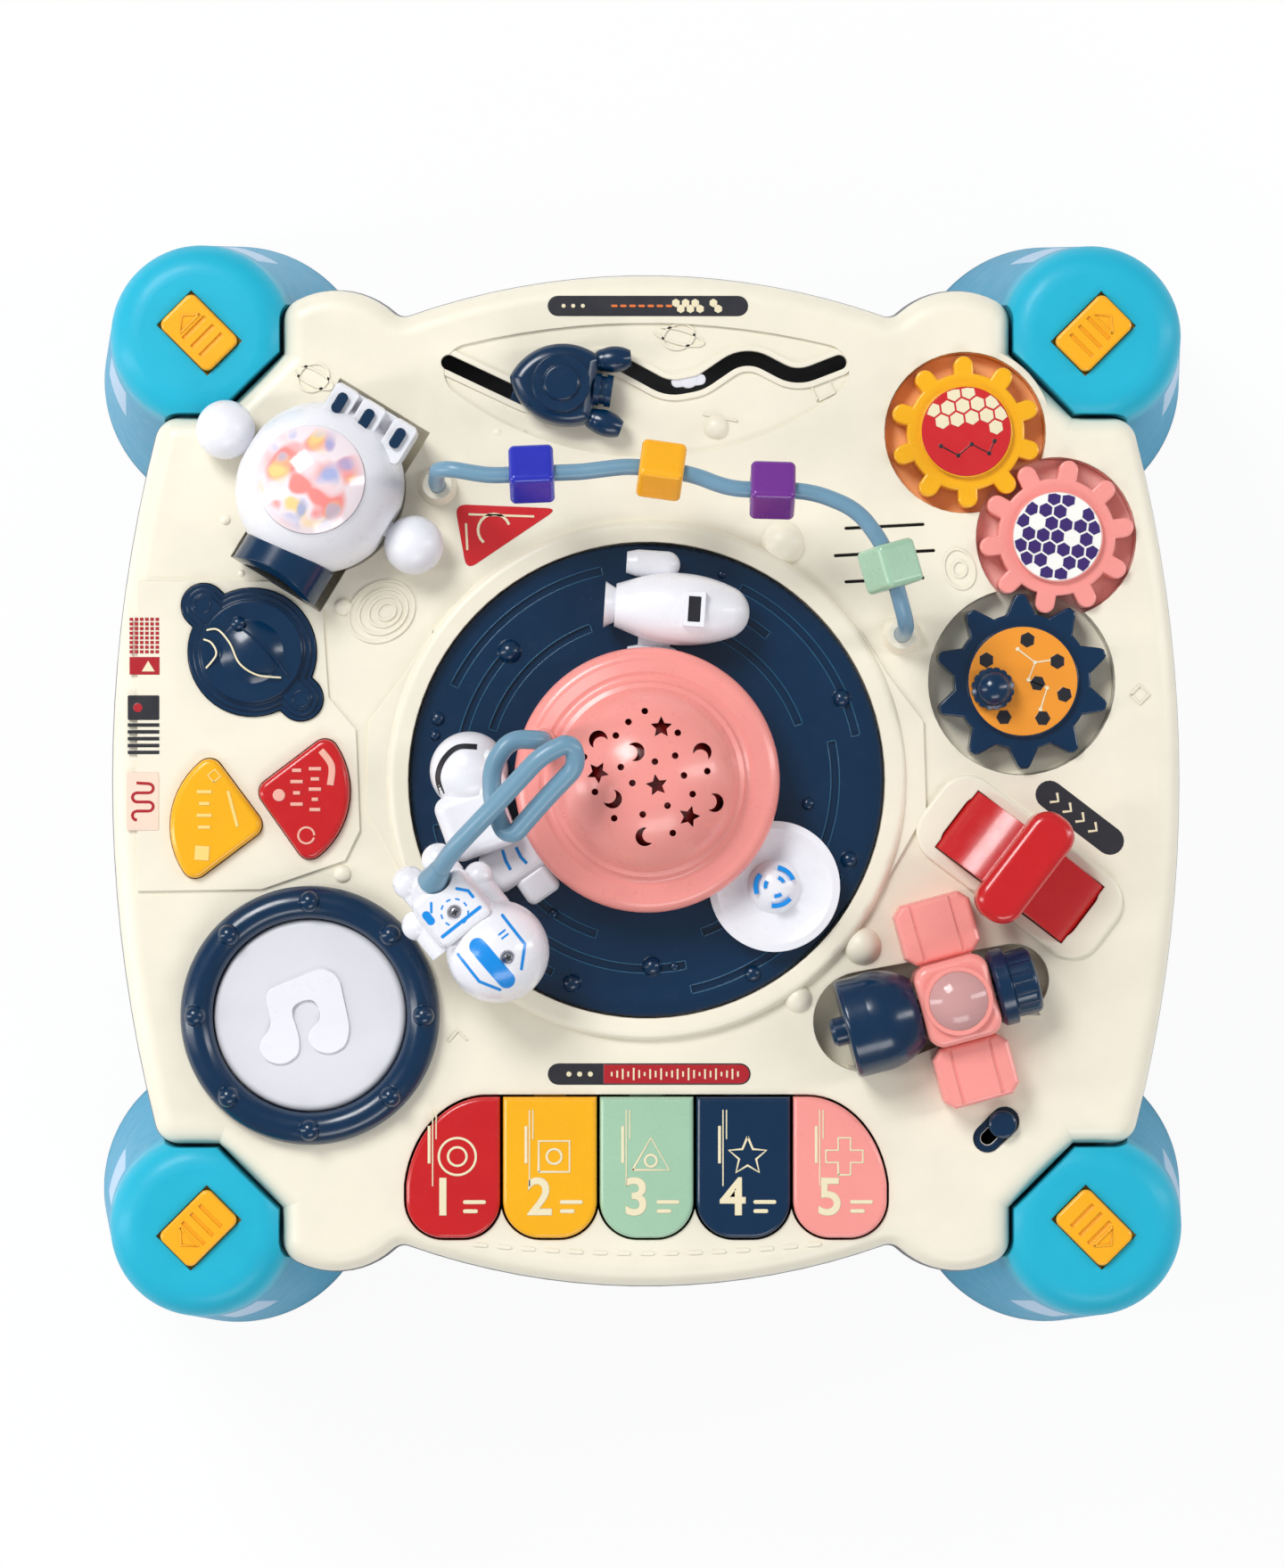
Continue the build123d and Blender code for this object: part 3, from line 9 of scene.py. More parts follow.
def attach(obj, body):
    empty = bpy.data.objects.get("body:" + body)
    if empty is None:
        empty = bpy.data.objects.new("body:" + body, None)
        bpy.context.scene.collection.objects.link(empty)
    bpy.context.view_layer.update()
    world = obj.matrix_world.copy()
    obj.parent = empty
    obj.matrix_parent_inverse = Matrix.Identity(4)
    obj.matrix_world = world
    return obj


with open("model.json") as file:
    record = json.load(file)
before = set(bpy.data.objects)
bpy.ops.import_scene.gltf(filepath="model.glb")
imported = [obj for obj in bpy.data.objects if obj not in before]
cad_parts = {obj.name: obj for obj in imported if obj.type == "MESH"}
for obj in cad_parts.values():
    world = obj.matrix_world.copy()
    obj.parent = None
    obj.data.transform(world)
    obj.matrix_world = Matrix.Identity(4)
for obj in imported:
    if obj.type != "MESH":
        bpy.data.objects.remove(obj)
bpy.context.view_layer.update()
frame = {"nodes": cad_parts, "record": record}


# ------------------------------ sizes in millimetres, and the photograph's frame

MM = 0.001
PANEL_Z = 212.0
DISC_Z = PANEL_Z - 0.5
FIELD_Z = PANEL_Z - 1.2
STICKER_Z = PANEL_Z + 6.0
WELL_Z = PANEL_Z - 8.0
KEY_Z = PANEL_Z + 2.5
KEY_PITCH = 36.1
KEY_NAMES = ("red", "yellow", "sage", "navy", "pink")

# how deep prints and labels reach into the panel, and how far they stand out
LABEL_SUNK = 0.4
PRINT_SUNK = 0.2
PRINT_RISE = 0.26

IMAGE_WIDTH = 1440
IMAGE_HEIGHT = 1759
PX_PER_MM = 3.0
CENTRE_PX = (725.0, 875.0)


def from_px(px, py):
    # a place on the panel, in millimetres, from a place in the photograph
    return ((px - CENTRE_PX[0]) / PX_PER_MM, (CENTRE_PX[1] - py) / PX_PER_MM)


# ------------------------------ colours (sRGB, 0-255)

CREAM = (240, 233, 213)
GREY = (140, 140, 146)
CYAN = (34, 178, 208)
# the legs' flank, painted darker as shade below the lit cap
SHADED_FLANK_CYAN = (0, 138, 186)
FOOT_CYAN = (20, 140, 176)
# pale colour of the legs' painted highlights
HIGHLIGHT_LILAC = (176, 206, 232)
ORANGE = (250, 176, 22)
NAVY = (0, 42, 74)
PINK = (246, 154, 146)
RED = (200, 22, 26)
YELLOW = (247, 178, 14)
SAGE = (162, 200, 170)
WHITE = (238, 238, 243)
TUBE = (112, 152, 176)
BLUE_BEAD = (36, 44, 178)
PURPLE = (112, 44, 142)
SPOT_ROSE = (250, 146, 140)
SPOT_GOLD = (252, 216, 140)
SPOT_SKY = (150, 172, 226)
PRINT_BLUE = (10, 140, 226)


def linear(colour):
    out = []
    for value in colour:
        value = value / 255.0
        out.append(value / 12.92 if value <= 0.04045 else ((value + 0.055) / 1.055) ** 2.4)
    return (out[0], out[1], out[2], 1.0)


def shade(colour, factor):
    return tuple(min(1.0, channel * factor) for channel in colour[:3]) + (1.0,)


# ------------------------------ materials

class Nodes:
    def __init__(self, owner):
        # the owner is a material or the world
        owner.use_nodes = True
        self.tree = owner.node_tree

    def feed(self, node, inputs):
        # a constant goes on the socket itself, anything else is linked to it
        for key, value in inputs.items():
            if isinstance(value, (int, float, tuple)):
                node.inputs[key].default_value = value
            elif value is not None:
                self.tree.links.new(value, node.inputs[key])

    def add(self, kind, inputs=None, **values):
        node = self.tree.nodes.new(kind)
        for key, value in values.items():
            setattr(node, key, value)
        self.feed(node, inputs or {})
        return node

    def math(self, operation, a, b=None):
        return self.add("ShaderNodeMath", {0: a, 1: b}, operation=operation).outputs["Value"]

    def distance(self, a, b):
        squares = self.math("ADD", self.math("POWER", a, 2.0), self.math("POWER", b, 2.0))
        return self.math("SQRT", squares)

    def ramp(self, source, low, high, low_value=0.0, high_value=1.0):
        inputs = {"Value": source, "From Min": low, "From Max": high}
        inputs.update({"To Min": low_value, "To Max": high_value})
        return self.add("ShaderNodeMapRange", inputs).outputs["Result"]

    def mix(self, factor, a, b):
        node = self.add("ShaderNodeMix", {"Factor": factor, "A": a, "B": b}, data_type="RGBA")
        return node.outputs["Result"]

    def show(self, factor, a, b, output):
        # a blend of two shaders becomes what is seen
        blend = self.add("ShaderNodeMixShader", {"Fac": factor, 1: a, 2: b}).outputs["Shader"]
        self.feed(self.tree.nodes[output], {"Surface": blend})


class Surface(Nodes):
    # a new material, its patterns laid out in the object's own space
    def __init__(self, name):
        self.material = bpy.data.materials.new(name)
        super().__init__(self.material)
        self.shader = self.tree.nodes["Principled BSDF"]
        self.place = self.add("ShaderNodeTexCoord").outputs["Object"]

    def noise(self, scale, detail=3.0, roughness=0.55):
        inputs = {"Vector": self.place, "Scale": scale, "Detail": detail, "Roughness": roughness}
        return self.add("ShaderNodeTexNoise", inputs).outputs["Fac"]

    def bump(self, height, strength, distance, normal=None):
        inputs = {"Height": height, "Strength": strength, "Distance": distance, "Normal": normal}
        return self.add("ShaderNodeBump", inputs).outputs["Normal"]

    def axes(self):
        node = self.add("ShaderNodeSeparateXYZ", {"Vector": self.place})
        return node.outputs["X"], node.outputs["Y"], node.outputs["Z"]

    def done(self, inputs):
        self.feed(self.shader, inputs)
        return self.material


EDGE_RADIUS = 0.0006
GRAIN_DEPTH = 0.00002
RIPPLE_DEPTH = 0.0005


def plastic(name, colour, gloss=0.3, grain=0.15, coat=0.0, tone=0.03, pattern=None, shine=0.5):
    # moulded plastic: faint flow marks, specks, uneven gloss, fine grain, a slow ripple and softened edges
    kit = Surface(name)
    base = linear(colour)
    flow = kit.ramp(kit.noise(scale=38.0, detail=4.0), 0.3, 0.7)
    speck = kit.ramp(kit.noise(scale=900.0, detail=2.0), 0.62, 0.8, high_value=0.22)
    tinted = kit.mix(flow, shade(base, 1.0 - tone), shade(base, 1.0 + tone))
    tinted = kit.mix(speck, tinted, shade(base, 0.86))
    if pattern is not None:
        tinted = pattern(kit, tinted)
    uneven = kit.noise(scale=150.0, detail=5.0, roughness=0.65)
    rough = kit.ramp(uneven, 0.3, 0.7, max(0.02, gloss - 0.06), gloss + 0.07)
    soft_edge = kit.add("ShaderNodeBevel", {"Radius": EDGE_RADIUS}, samples=6).outputs["Normal"]
    fine = kit.bump(kit.noise(scale=1400.0, detail=2.0), grain, GRAIN_DEPTH, soft_edge)
    slow = kit.bump(kit.noise(scale=26.0, detail=1.5), 0.08, RIPPLE_DEPTH, fine)
    if coat > 0.0:
        kit.feed(kit.shader, {"Coat Weight": coat, "Coat Roughness": 0.12})
    return kit.done({"Base Color": tinted, "Roughness": rough, "Normal": slow, "Specular IOR Level": shine})


def glassy(name, colour, rough, transmission, ior=1.45):
    kit = Surface(name)
    base = linear(colour)
    tinted = kit.mix(kit.ramp(kit.noise(scale=60.0), 0.35, 0.65), shade(base, 0.96), shade(base, 1.03))
    uneven = kit.ramp(kit.noise(scale=240.0), 0.3, 0.7, rough, rough + 0.05)
    kit.feed(kit.shader, {"Transmission Weight": transmission, "IOR": ior})
    return kit.done({"Base Color": tinted, "Roughness": uneven})


def metal(name, colour):
    kit = Surface(name)
    base = linear(colour)
    brushed = kit.noise(scale=520.0, detail=6.0)
    tinted = kit.mix(kit.ramp(brushed, 0.3, 0.7), shade(base, 0.85), base)
    uneven = kit.ramp(brushed, 0.3, 0.7, 0.22, 0.4)
    return kit.done({"Base Color": tinted, "Roughness": uneven, "Metallic": 1.0})


def band(kit, value, low, high, soft):
    # 1 inside the span from low to high, 0 outside
    rise = kit.ramp(value, low - soft, low + soft)
    fall = kit.ramp(value, high - soft, high + soft, 1.0, 0.0)
    return kit.math("MULTIPLY", rise, fall)


# the legs' painted highlight patches, their flank painted darker as shade below the cap, and their foot band,
# in metres and in degrees off the corner's diagonal
LEG_AXIS = 0.167
HIGHLIGHT_TURN = (54.0, 78.0)
HIGHLIGHT_Z = (0.118, 0.182)
FLANK_SHADE_Z = (0.186, 0.196)
FOOT_Z = 0.016


def leg_sheen_and_shade(kit, colour):
    # two pale patches painted on each cone as highlights, the flank below the cap painted deeper as shade,
    # and a deeper foot
    x, y, z = kit.axes()
    across = kit.math("SUBTRACT", kit.math("ABSOLUTE", x), LEG_AXIS)
    along = kit.math("SUBTRACT", kit.math("ABSOLUTE", y), LEG_AXIS)
    angle = kit.math("ARCTAN2", along, across)
    off = kit.math("ABSOLUTE", kit.math("SUBTRACT", angle, radians(45.0)))
    # painted highlight: a pale band on each side of the cone's shoulder
    turned = band(kit, off, radians(HIGHLIGHT_TURN[0]), radians(HIGHLIGHT_TURN[1]), 0.01)
    painted_highlight = kit.math("MULTIPLY", turned, band(kit, z, HIGHLIGHT_Z[0], HIGHLIGHT_Z[1], 0.0008))
    # painted shade: the cone's flank, below its lit cap, is darker
    flank_shade = kit.math("MULTIPLY", kit.ramp(z, FLANK_SHADE_Z[0], FLANK_SHADE_Z[1], 1.0, 0.0), 0.6)
    shaded = kit.mix(flank_shade, colour, linear(SHADED_FLANK_CYAN))
    shaded = kit.mix(band(kit, z, -0.01, FOOT_Z, 0.001), shaded, linear(FOOT_CYAN))
    return kit.mix(painted_highlight, shaded, linear(HIGHLIGHT_LILAC))


def near_line(kit, x, y, start, end, half):
    # 1 within half of the line from start to end
    run = (end[0] - start[0], end[1] - start[1])
    square = run[0] ** 2 + run[1] ** 2
    dx = kit.math("SUBTRACT", x, start[0])
    dy = kit.math("SUBTRACT", y, start[1])
    ahead = kit.math("MULTIPLY", dx, run[0] / square)
    share = kit.math("ADD", ahead, kit.math("MULTIPLY", dy, run[1] / square))
    share = kit.math("MINIMUM", kit.math("MAXIMUM", share, 0.0), 1.0)
    off_x = kit.math("SUBTRACT", dx, kit.math("MULTIPLY", share, run[0]))
    off_y = kit.math("SUBTRACT", dy, kit.math("MULTIPLY", share, run[1]))
    return kit.ramp(kit.distance(off_x, off_y), half - 0.15, half + 0.15, 1.0, 0.0)


# stripes on the astronaut's suit in its own axes: start, end and half width
SUIT_LINES = (((8.6, 13.0), (22.0, 13.0), 0.6), ((22.0, 13.0), (28.3, 6.4), 0.6),
              ((9.8, -8.6), (22.4, -8.6), 0.6), ((22.4, -8.6), (29.4, -4.6), 0.6),
              ((1.2, -8.9), (1.2, 8.4), 0.7), ((12.0, -1.0), (28.0, -0.4), 3.2),
              ((-8.6, -8.8), (-6.0, -8.8), 1.6), ((13.4, 7.8), (13.4, 10.4), 0.4),
              ((15.2, 7.8), (15.2, 10.4), 0.4), ((-9.4, 6.0), (-6.2, 8.8), 0.6),
              ((-6.2, 8.8), (-3.4, 8.8), 0.6), ((-11.0, -4.6), (-8.4, -6.6), 0.5))
SUIT_TURN = (0.62, 0.785)
SUIT_PLACE = (2.5, 85.5)
SUIT_BACK_Z = (0.2440, 0.2450)
DASH_RING = (4.6, 5.3)


def astronaut_marks(kit, colour):
    # plain stripes and a dashed ring on the back of the suit
    x, y, z = kit.axes()
    c = SUIT_TURN[0] / MM
    s = SUIT_TURN[1] / MM
    along = kit.math("ADD", kit.math("MULTIPLY", x, c), kit.math("MULTIPLY", y, -s))
    along = kit.math("ADD", along, SUIT_PLACE[0])
    aside = kit.math("ADD", kit.math("MULTIPLY", x, s), kit.math("MULTIPLY", y, c))
    aside = kit.math("ADD", aside, SUIT_PLACE[1])
    from_screw = kit.math("ADD", along, 3.0)
    turn = kit.math("SINE", kit.math("MULTIPLY", kit.math("ARCTAN2", aside, from_screw), 9.0))
    ring = band(kit, kit.distance(from_screw, aside), DASH_RING[0], DASH_RING[1], 0.1)
    marks = kit.math("MULTIPLY", ring, kit.ramp(turn, -0.2, 0.1))
    for start, end, half in SUIT_LINES:
        marks = kit.math("MAXIMUM", marks, near_line(kit, along, aside, start, end, half))
    on_back = kit.math("MULTIPLY", marks, kit.ramp(z, SUIT_BACK_Z[0], SUIT_BACK_Z[1]))
    return kit.mix(on_back, colour, linear(PRINT_BLUE))


# the rattle's window, in metres: its centre, and where its pattern starts and stops to fade
WINDOW_CENTRE = (-0.1235, 0.110)
WINDOW_FADE = (0.0150, 0.0195)


def pearl_spots(kit, colour):
    # blurred coloured balls behind a milky window, fading out at its rim
    cells = kit.add("ShaderNodeTexVoronoi", {"Vector": kit.place, "Scale": 150.0, "Smoothness": 1.0},
                    feature="SMOOTH_F1")
    split = kit.add("ShaderNodeSeparateColor", {"Color": cells.outputs["Color"]})
    spots = colour
    for channel, low, high, strength, tint in (("Red", 0.40, 0.66, 1.0, SPOT_ROSE),
                                               ("Green", 0.50, 0.78, 0.95, SPOT_GOLD),
                                               ("Blue", 0.56, 0.84, 0.8, SPOT_SKY)):
        share = kit.ramp(split.outputs[channel], low, high, high_value=strength)
        spots = kit.mix(share, spots, linear(tint))
    x, y, _ = kit.axes()
    reach = kit.distance(kit.math("SUBTRACT", x, WINDOW_CENTRE[0]), kit.math("SUBTRACT", y, WINDOW_CENTRE[1]))
    return kit.mix(kit.ramp(reach, WINDOW_FADE[0], WINDOW_FADE[1], high_value=0.85), spots, colour)


def ink(name, colour, gloss=0.4, grain=0.2):
    # a print or a label
    return plastic(name, colour, gloss, grain)


def slot_materials():
    # the material of each material slot of the record
    return {
        "cream_shell": plastic("moulded_cream", CREAM, gloss=0.38, grain=0.22),
        "grey_housing": plastic("moulded_grey", GREY, gloss=0.45, grain=0.3),
        "cyan_plastic": plastic("gloss_cyan", CYAN, gloss=0.42, grain=0.03, coat=0.06, pattern=leg_sheen_and_shade,
                                shine=0.25),
        "orange_plastic": plastic("gloss_orange", ORANGE, gloss=0.3, grain=0.12, coat=0.2),
        "foot_rubber": plastic("matt_rubber", (40, 42, 46), gloss=0.8, grain=0.6),
        "red_plastic": plastic("gloss_red", RED, gloss=0.24, grain=0.08, coat=0.4),
        "yellow_plastic": plastic("gloss_yellow", YELLOW, gloss=0.26, grain=0.1, coat=0.3),
        "sage_plastic": plastic("gloss_sage", SAGE, gloss=0.28, grain=0.1, coat=0.3),
        "navy_plastic": plastic("gloss_navy", NAVY, gloss=0.22, grain=0.06, coat=0.15),
        "pink_plastic": plastic("gloss_pink", PINK, gloss=0.3, grain=0.12, coat=0.25),
        "white_plastic": plastic("gloss_white", WHITE, gloss=0.3, grain=0.03, coat=0.15, tone=0.02),
        "tube_blue": plastic("satin_tube", TUBE, gloss=0.36, grain=0.12, coat=0.15),
        "bead_blue_plastic": plastic("gloss_blue_block", BLUE_BEAD, gloss=0.24, grain=0.08, coat=0.4),
        "bead_purple_plastic": plastic("gloss_purple_block", PURPLE, gloss=0.24, grain=0.08, coat=0.4),
        "lens_red": plastic("dark_red_lens", (96, 8, 12), gloss=0.2, grain=0.05, coat=0.4),
        "lens_clear": glassy("clear_window", (250, 246, 246), rough=0.22, transmission=0.92, ior=1.35),
        "lens_pink": glassy("pink_lens", (244, 186, 184), rough=0.08, transmission=0.35),
        "steel": metal("bright_steel", (170, 170, 176)),
        "board_green": plastic("board_green", (24, 92, 50), gloss=0.5, grain=0.3),
        "speaker_black": plastic("speaker_black", (26, 26, 30), gloss=0.7, grain=0.5),
        "battery_sleeve": plastic("battery_sleeve", (60, 60, 70), gloss=0.35, grain=0.1),
        "pearl_mix": plastic("pearl_orange", (240, 150, 110), gloss=0.3, grain=0.05, coat=0.3),
    }


MATERIAL = slot_materials()
WELL_ORANGE = plastic("well_orange", (255, 190, 130), gloss=0.34)
WELL_DUSTY = plastic("well_dusty_pink", (255, 205, 196), gloss=0.36)
WELL_SAND = plastic("well_sand", (250, 242, 222), gloss=0.4, grain=0.2)
# lighter navy: a painted highlight on the turntable's groove edges
GROOVE_HIGHLIGHT_NAVY = plastic("painted_highlight_navy", (34, 88, 122), grain=0.05)
PALE_INSERT = plastic("pale_insert", (226, 226, 232), gloss=0.4, grain=0.2)
SUIT = plastic("printed_white", WHITE, gloss=0.26, grain=0.08, coat=0.3, tone=0.02, pattern=astronaut_marks)
DRUM_SKIN = plastic("drum_skin", (222, 222, 227), gloss=0.5, grain=0.2, tone=0.02)
PEARLS = plastic("milky_window", (246, 232, 236), gloss=0.12, grain=0.03, coat=0.6, tone=0.02,
                 pattern=pearl_spots)
INK_CREAM = ink("ink_cream", (238, 226, 190))
INK_ORANGE = ink("ink_orange", (236, 120, 50))
INK_WHITE = ink("ink_white", (248, 246, 240))
INK_BLACK = ink("ink_black", (30, 30, 36))
INK_PLATE = ink("ink_plate", (244, 218, 198))
INK_BLUE = ink("ink_blue", PRINT_BLUE, 0.35, 0.15)
INK_PINK = ink("ink_rose", (240, 178, 160), 0.35, 0.15)
INK_SUN = ink("ink_sun", (255, 214, 124), 0.35, 0.15)
INK_DARK = ink("label_dark", (44, 44, 50), 0.34)
INK_RED = ink("label_red", (176, 30, 40), 0.34)
INK_PURPLE = ink("label_purple", (60, 38, 108), 0.34)
STICKER_ORANGE = ink("label_orange", (240, 152, 46), 0.34)
STICKER_RED = ink("label_deep_red", (206, 34, 40), 0.34)


def dress_nodes():
    # every kept CAD node takes the material of its slot, but for these four
    own = {"astronaut_back": SUIT, "astronaut_front": SUIT, "rattle_window": PEARLS, "drum_head": DRUM_SKIN}
    for row in frame["record"]["subparts"]:
        node = row["node"]
        material = own.get(node, MATERIAL[row["material_slot"]])
        obj = frame["nodes"][node]
        if len(obj.material_slots) == 0:
            obj.data.materials.append(material)
        for entry in obj.material_slots:
            entry.material = material


dress_nodes()


# ------------------------------ outlines (millimetres)

def turned_points(points, turn, x=0.0, y=0.0):
    c = cos(radians(turn))
    s = sin(radians(turn))
    return [(x + px * c - py * s, y + px * s + py * c) for px, py in points]


def moved(points, x, y):
    return [(x + px, y + py) for px, py in points]


def closed(points):
    return points + points[:1]


def circle_points(radius, x=0.0, y=0.0, steps=48, start=0.0, end=360.0):
    # a full circle leaves its last point out, an arc keeps it
    full = abs(end - start) >= 360.0
    count = steps if full else steps + 1
    angles = [radians(start + (end - start) / steps * i) for i in range(count)]
    return [(x + radius * cos(angle), y + radius * sin(angle)) for angle in angles]


def ring_path(x, y, rx, ry, turn=0.0, start=0.0, end=360.0, steps=40):
    # a closed ellipse, or a stretch of it
    angles = [radians(start + (end - start) * i / steps) for i in range(steps + 1)]
    return turned_points([(rx * cos(angle), ry * sin(angle)) for angle in angles], turn, x, y)


def stadium_points(length, width, x=0.0, y=0.0, turn=0.0, steps=10):
    half = (length - width) / 2
    points = [(half + px, py) for px, py in circle_points(width / 2, 0, 0, steps, -90, 90)]
    points += [(-half + px, py) for px, py in circle_points(width / 2, 0, 0, steps, 90, 270)]
    return turned_points(points, turn, x, y)


def box_points(x, y, width, height):
    # a box to the right of and below this corner
    return [(x, y), (x + width, y), (x + width, y - height), (x, y - height)]


def hexagon(radius, x, y, turn=30.0):
    angles = [radians(turn + 60 * i) for i in range(6)]
    return [(x + radius * cos(angle), y + radius * sin(angle)) for angle in angles]


def rounded_polygon(corners, radius, steps=5):
    # corners cut back and joined by a small arc
    points = []
    count = len(corners)
    for index in range(count):
        before = Vector(corners[index - 1])
        corner = Vector(corners[index])
        after = Vector(corners[(index + 1) % count])
        cut = min(radius, (before - corner).length * 0.45, (after - corner).length * 0.45)
        first = corner + (before - corner).normalized() * cut
        last = corner + (after - corner).normalized() * cut
        for step in range(steps + 1):
            t = step / steps
            point = first * (1 - t) ** 2 + corner * 2 * t * (1 - t) + last * t ** 2
            points.append((point.x, point.y))
    return points


def smooth_path(points, steps=6):
    # a soft curve through the points
    path = []
    count = len(points)
    for index in range(count - 1):
        p0 = Vector(points[max(0, index - 1)])
        p1 = Vector(points[index])
        p2 = Vector(points[index + 1])
        p3 = Vector(points[min(count - 1, index + 2)])
        for step in range(steps):
            t = step / steps
            bend = (2 * p0 - 5 * p1 + 4 * p2 - p3) * t ** 2 + (3 * p1 - p0 - 3 * p2 + p3) * t ** 3
            spot = 0.5 * (2 * p1 + (p2 - p0) * t + bend)
            path.append((spot.x, spot.y))
    path.append(tuple(points[-1]))
    return path


def ribbon_points(path, width):
    # outline of a thin stripe that follows a path
    left = []
    right = []
    count = len(path)
    for index, point in enumerate(path):
        before = Vector(path[max(0, index - 1)])
        after = Vector(path[min(count - 1, index + 1)])
        run = (after - before).normalized()
        side = Vector((-run.y, run.x)) * (width / 2)
        left.append((point[0] + side.x, point[1] + side.y))
        right.append((point[0] - side.x, point[1] - side.y))
    return left + right[::-1]


def bar_row(x, y, step, lengths):
    # a short column of plain bars
    return [box_points(x - length / 2, y + index * step + 1.3, length, 1.3)
            for index, length in enumerate(lengths)]


# ------------------------------ pieces

def placed(name, data):
    obj = bpy.data.objects.new(name, data)
    bpy.context.scene.collection.objects.link(obj)
    return obj


def mesh_object(name, bm):
    mesh = bpy.data.meshes.new(name)
    bm.to_mesh(mesh)
    bm.free()
    return placed(name, mesh)


def worn_piece(name, bm, body, slot, materials=None):
    # the mesh becomes an object that rides on its body; the slot's own material unless others are given
    obj = mesh_object(name, bm)
    for material in materials or [MATERIAL[slot]]:
        obj.data.materials.append(material)
    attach(obj, body)
    return obj


def ring_of_verts(bm, points, z):
    return [bm.verts.new((x * MM, y * MM, z * MM)) for x, y in points]


def add_plate(bm, points, low, high, bevel, ink):
    # a flat piece with this outline, its upper edge rounded
    area = sum(a[0] * b[1] - b[0] * a[1] for a, b in zip(points, points[1:] + points[:1]))
    if area < 0:
        points = points[::-1]
    bottom = ring_of_verts(bm, points, low)
    top = ring_of_verts(bm, points, high)
    faces = [bm.faces.new(top), bm.faces.new(bottom[::-1])]
    rim = []
    for i in range(len(points)):
        j = (i + 1) % len(points)
        faces.append(bm.faces.new((bottom[i], bottom[j], top[j], top[i])))
        rim.append(bm.edges.get((top[i], top[j])))
    for face in faces:
        face.material_index = ink
    if bevel > 0.0:
        bmesh.ops.bevel(bm, geom=rim, offset=bevel * MM, segments=2, profile=0.6, affect="EDGES",
                        clamp_overlap=True)


class Plates:
    # flat pieces that become one object; low and high are the usual heights of their two sides
    def __init__(self, low, high):
        self.low = low
        self.high = high
        self.rows = []

    def add(self, outline, ink=0, low=None, high=None, bevel=0.0):
        low = self.low if low is None else low
        high = self.high if high is None else high
        self.rows.append((outline, low, high, bevel, ink))

    def add_all(self, outlines, ink=0, low=None, high=None):
        for outline in outlines:
            self.add(outline, ink, low, high)

    def make(self, name, body="root", slot="cream_shell", materials=None):
        bm = bmesh.new()
        for row in self.rows:
            add_plate(bm, *row)
        return worn_piece(name, bm, body, slot, materials)


def add_stud(bm, x, y, base, radius, rise):
    # a low domed stud, in rings from its rim to its crown
    steps = 28
    levels = 6
    rings = []
    for level in range(levels):
        tilt = radians(90.0 * level / levels)
        outline = circle_points(radius * cos(tilt), x, y, steps)
        rings.append(ring_of_verts(bm, outline, base + rise * sin(tilt)))
    crown = bm.verts.new((x * MM, y * MM, (base + rise) * MM))
    for lower, upper in zip(rings, rings[1:]):
        for i in range(steps):
            j = (i + 1) % steps
            bm.faces.new((lower[i], lower[j], upper[j], upper[i]))
    for i in range(steps):
        bm.faces.new((rings[-1][i], rings[-1][(i + 1) % steps], crown))
    bm.faces.new(rings[0][::-1])


def px_studs(places, base, flatness):
    # rows for studs from their places and radii in the photograph's pixels
    rows = []
    for px, py, radius_px in places:
        radius = radius_px / PX_PER_MM
        rows.append((*from_px(px, py), base, radius, radius * flatness))
    return rows


def studs(name, rows, body="root", slot="cream_shell"):
    # rows of x, y, base, radius and rise
    bm = bmesh.new()
    for row in rows:
        add_stud(bm, *row)
    for face in bm.faces:
        face.smooth = True
    return worn_piece(name, bm, body, slot)


def draped(name, paths, width, rise, height, body, slot, materials=None):
    # thin stripes that follow a dome
    sunk = 0.3
    bm = bmesh.new()
    for path in paths:
        outline = ribbon_points(path, width)
        count = len(path)
        rows = []
        for left, right in zip(outline[:count], outline[count:][::-1]):
            spots = [(left, -sunk), (left, rise), (right, rise), (right, -sunk)]
            rows.append([bm.verts.new((x * MM, y * MM, (height(x, y) + up) * MM)) for (x, y), up in spots])
        for first, second in zip(rows, rows[1:]):
            for i in range(4):
                j = (i + 1) % 4
                bm.faces.new((first[i], first[j], second[j], second[i]))
        bm.faces.new(rows[0][::-1])
        bm.faces.new(rows[-1])
    bmesh.ops.recalc_face_normals(bm, faces=bm.faces)
    return worn_piece(name, bm, body, slot, materials)


def key_number(key, text, x, y, body):
    # a plain printed number
    name = "key_number_" + key
    curve = bpy.data.curves.new(name, "FONT")
    curve.body = text
    curve.size = 19.5 * MM
    curve.extrude = 0.12 * MM
    curve.offset = 0.4 * MM
    curve.align_x = "CENTER"
    curve.materials.append(INK_CREAM)
    obj = placed(name, curve)
    obj.location = (x * MM, y * MM, (KEY_Z + 0.02) * MM)
    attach(obj, body)


# ------------------------------ turntable and its toys

# places in the photograph's pixels, and radii in pixels
DISC_STUDS_PX = ((491, 806, 8), (488, 825, 6), (809.5, 644, 5), (906, 901.5, 7), (756, 1084, 5),
                 (844, 1092, 9), (621, 1024, 5))
GROOVES = ((80.0, 12.0), (70.5, 50.0), (60.5, 20.0))
GROOVE_HALF = 1.6
GROOVE_ARC = 52.0


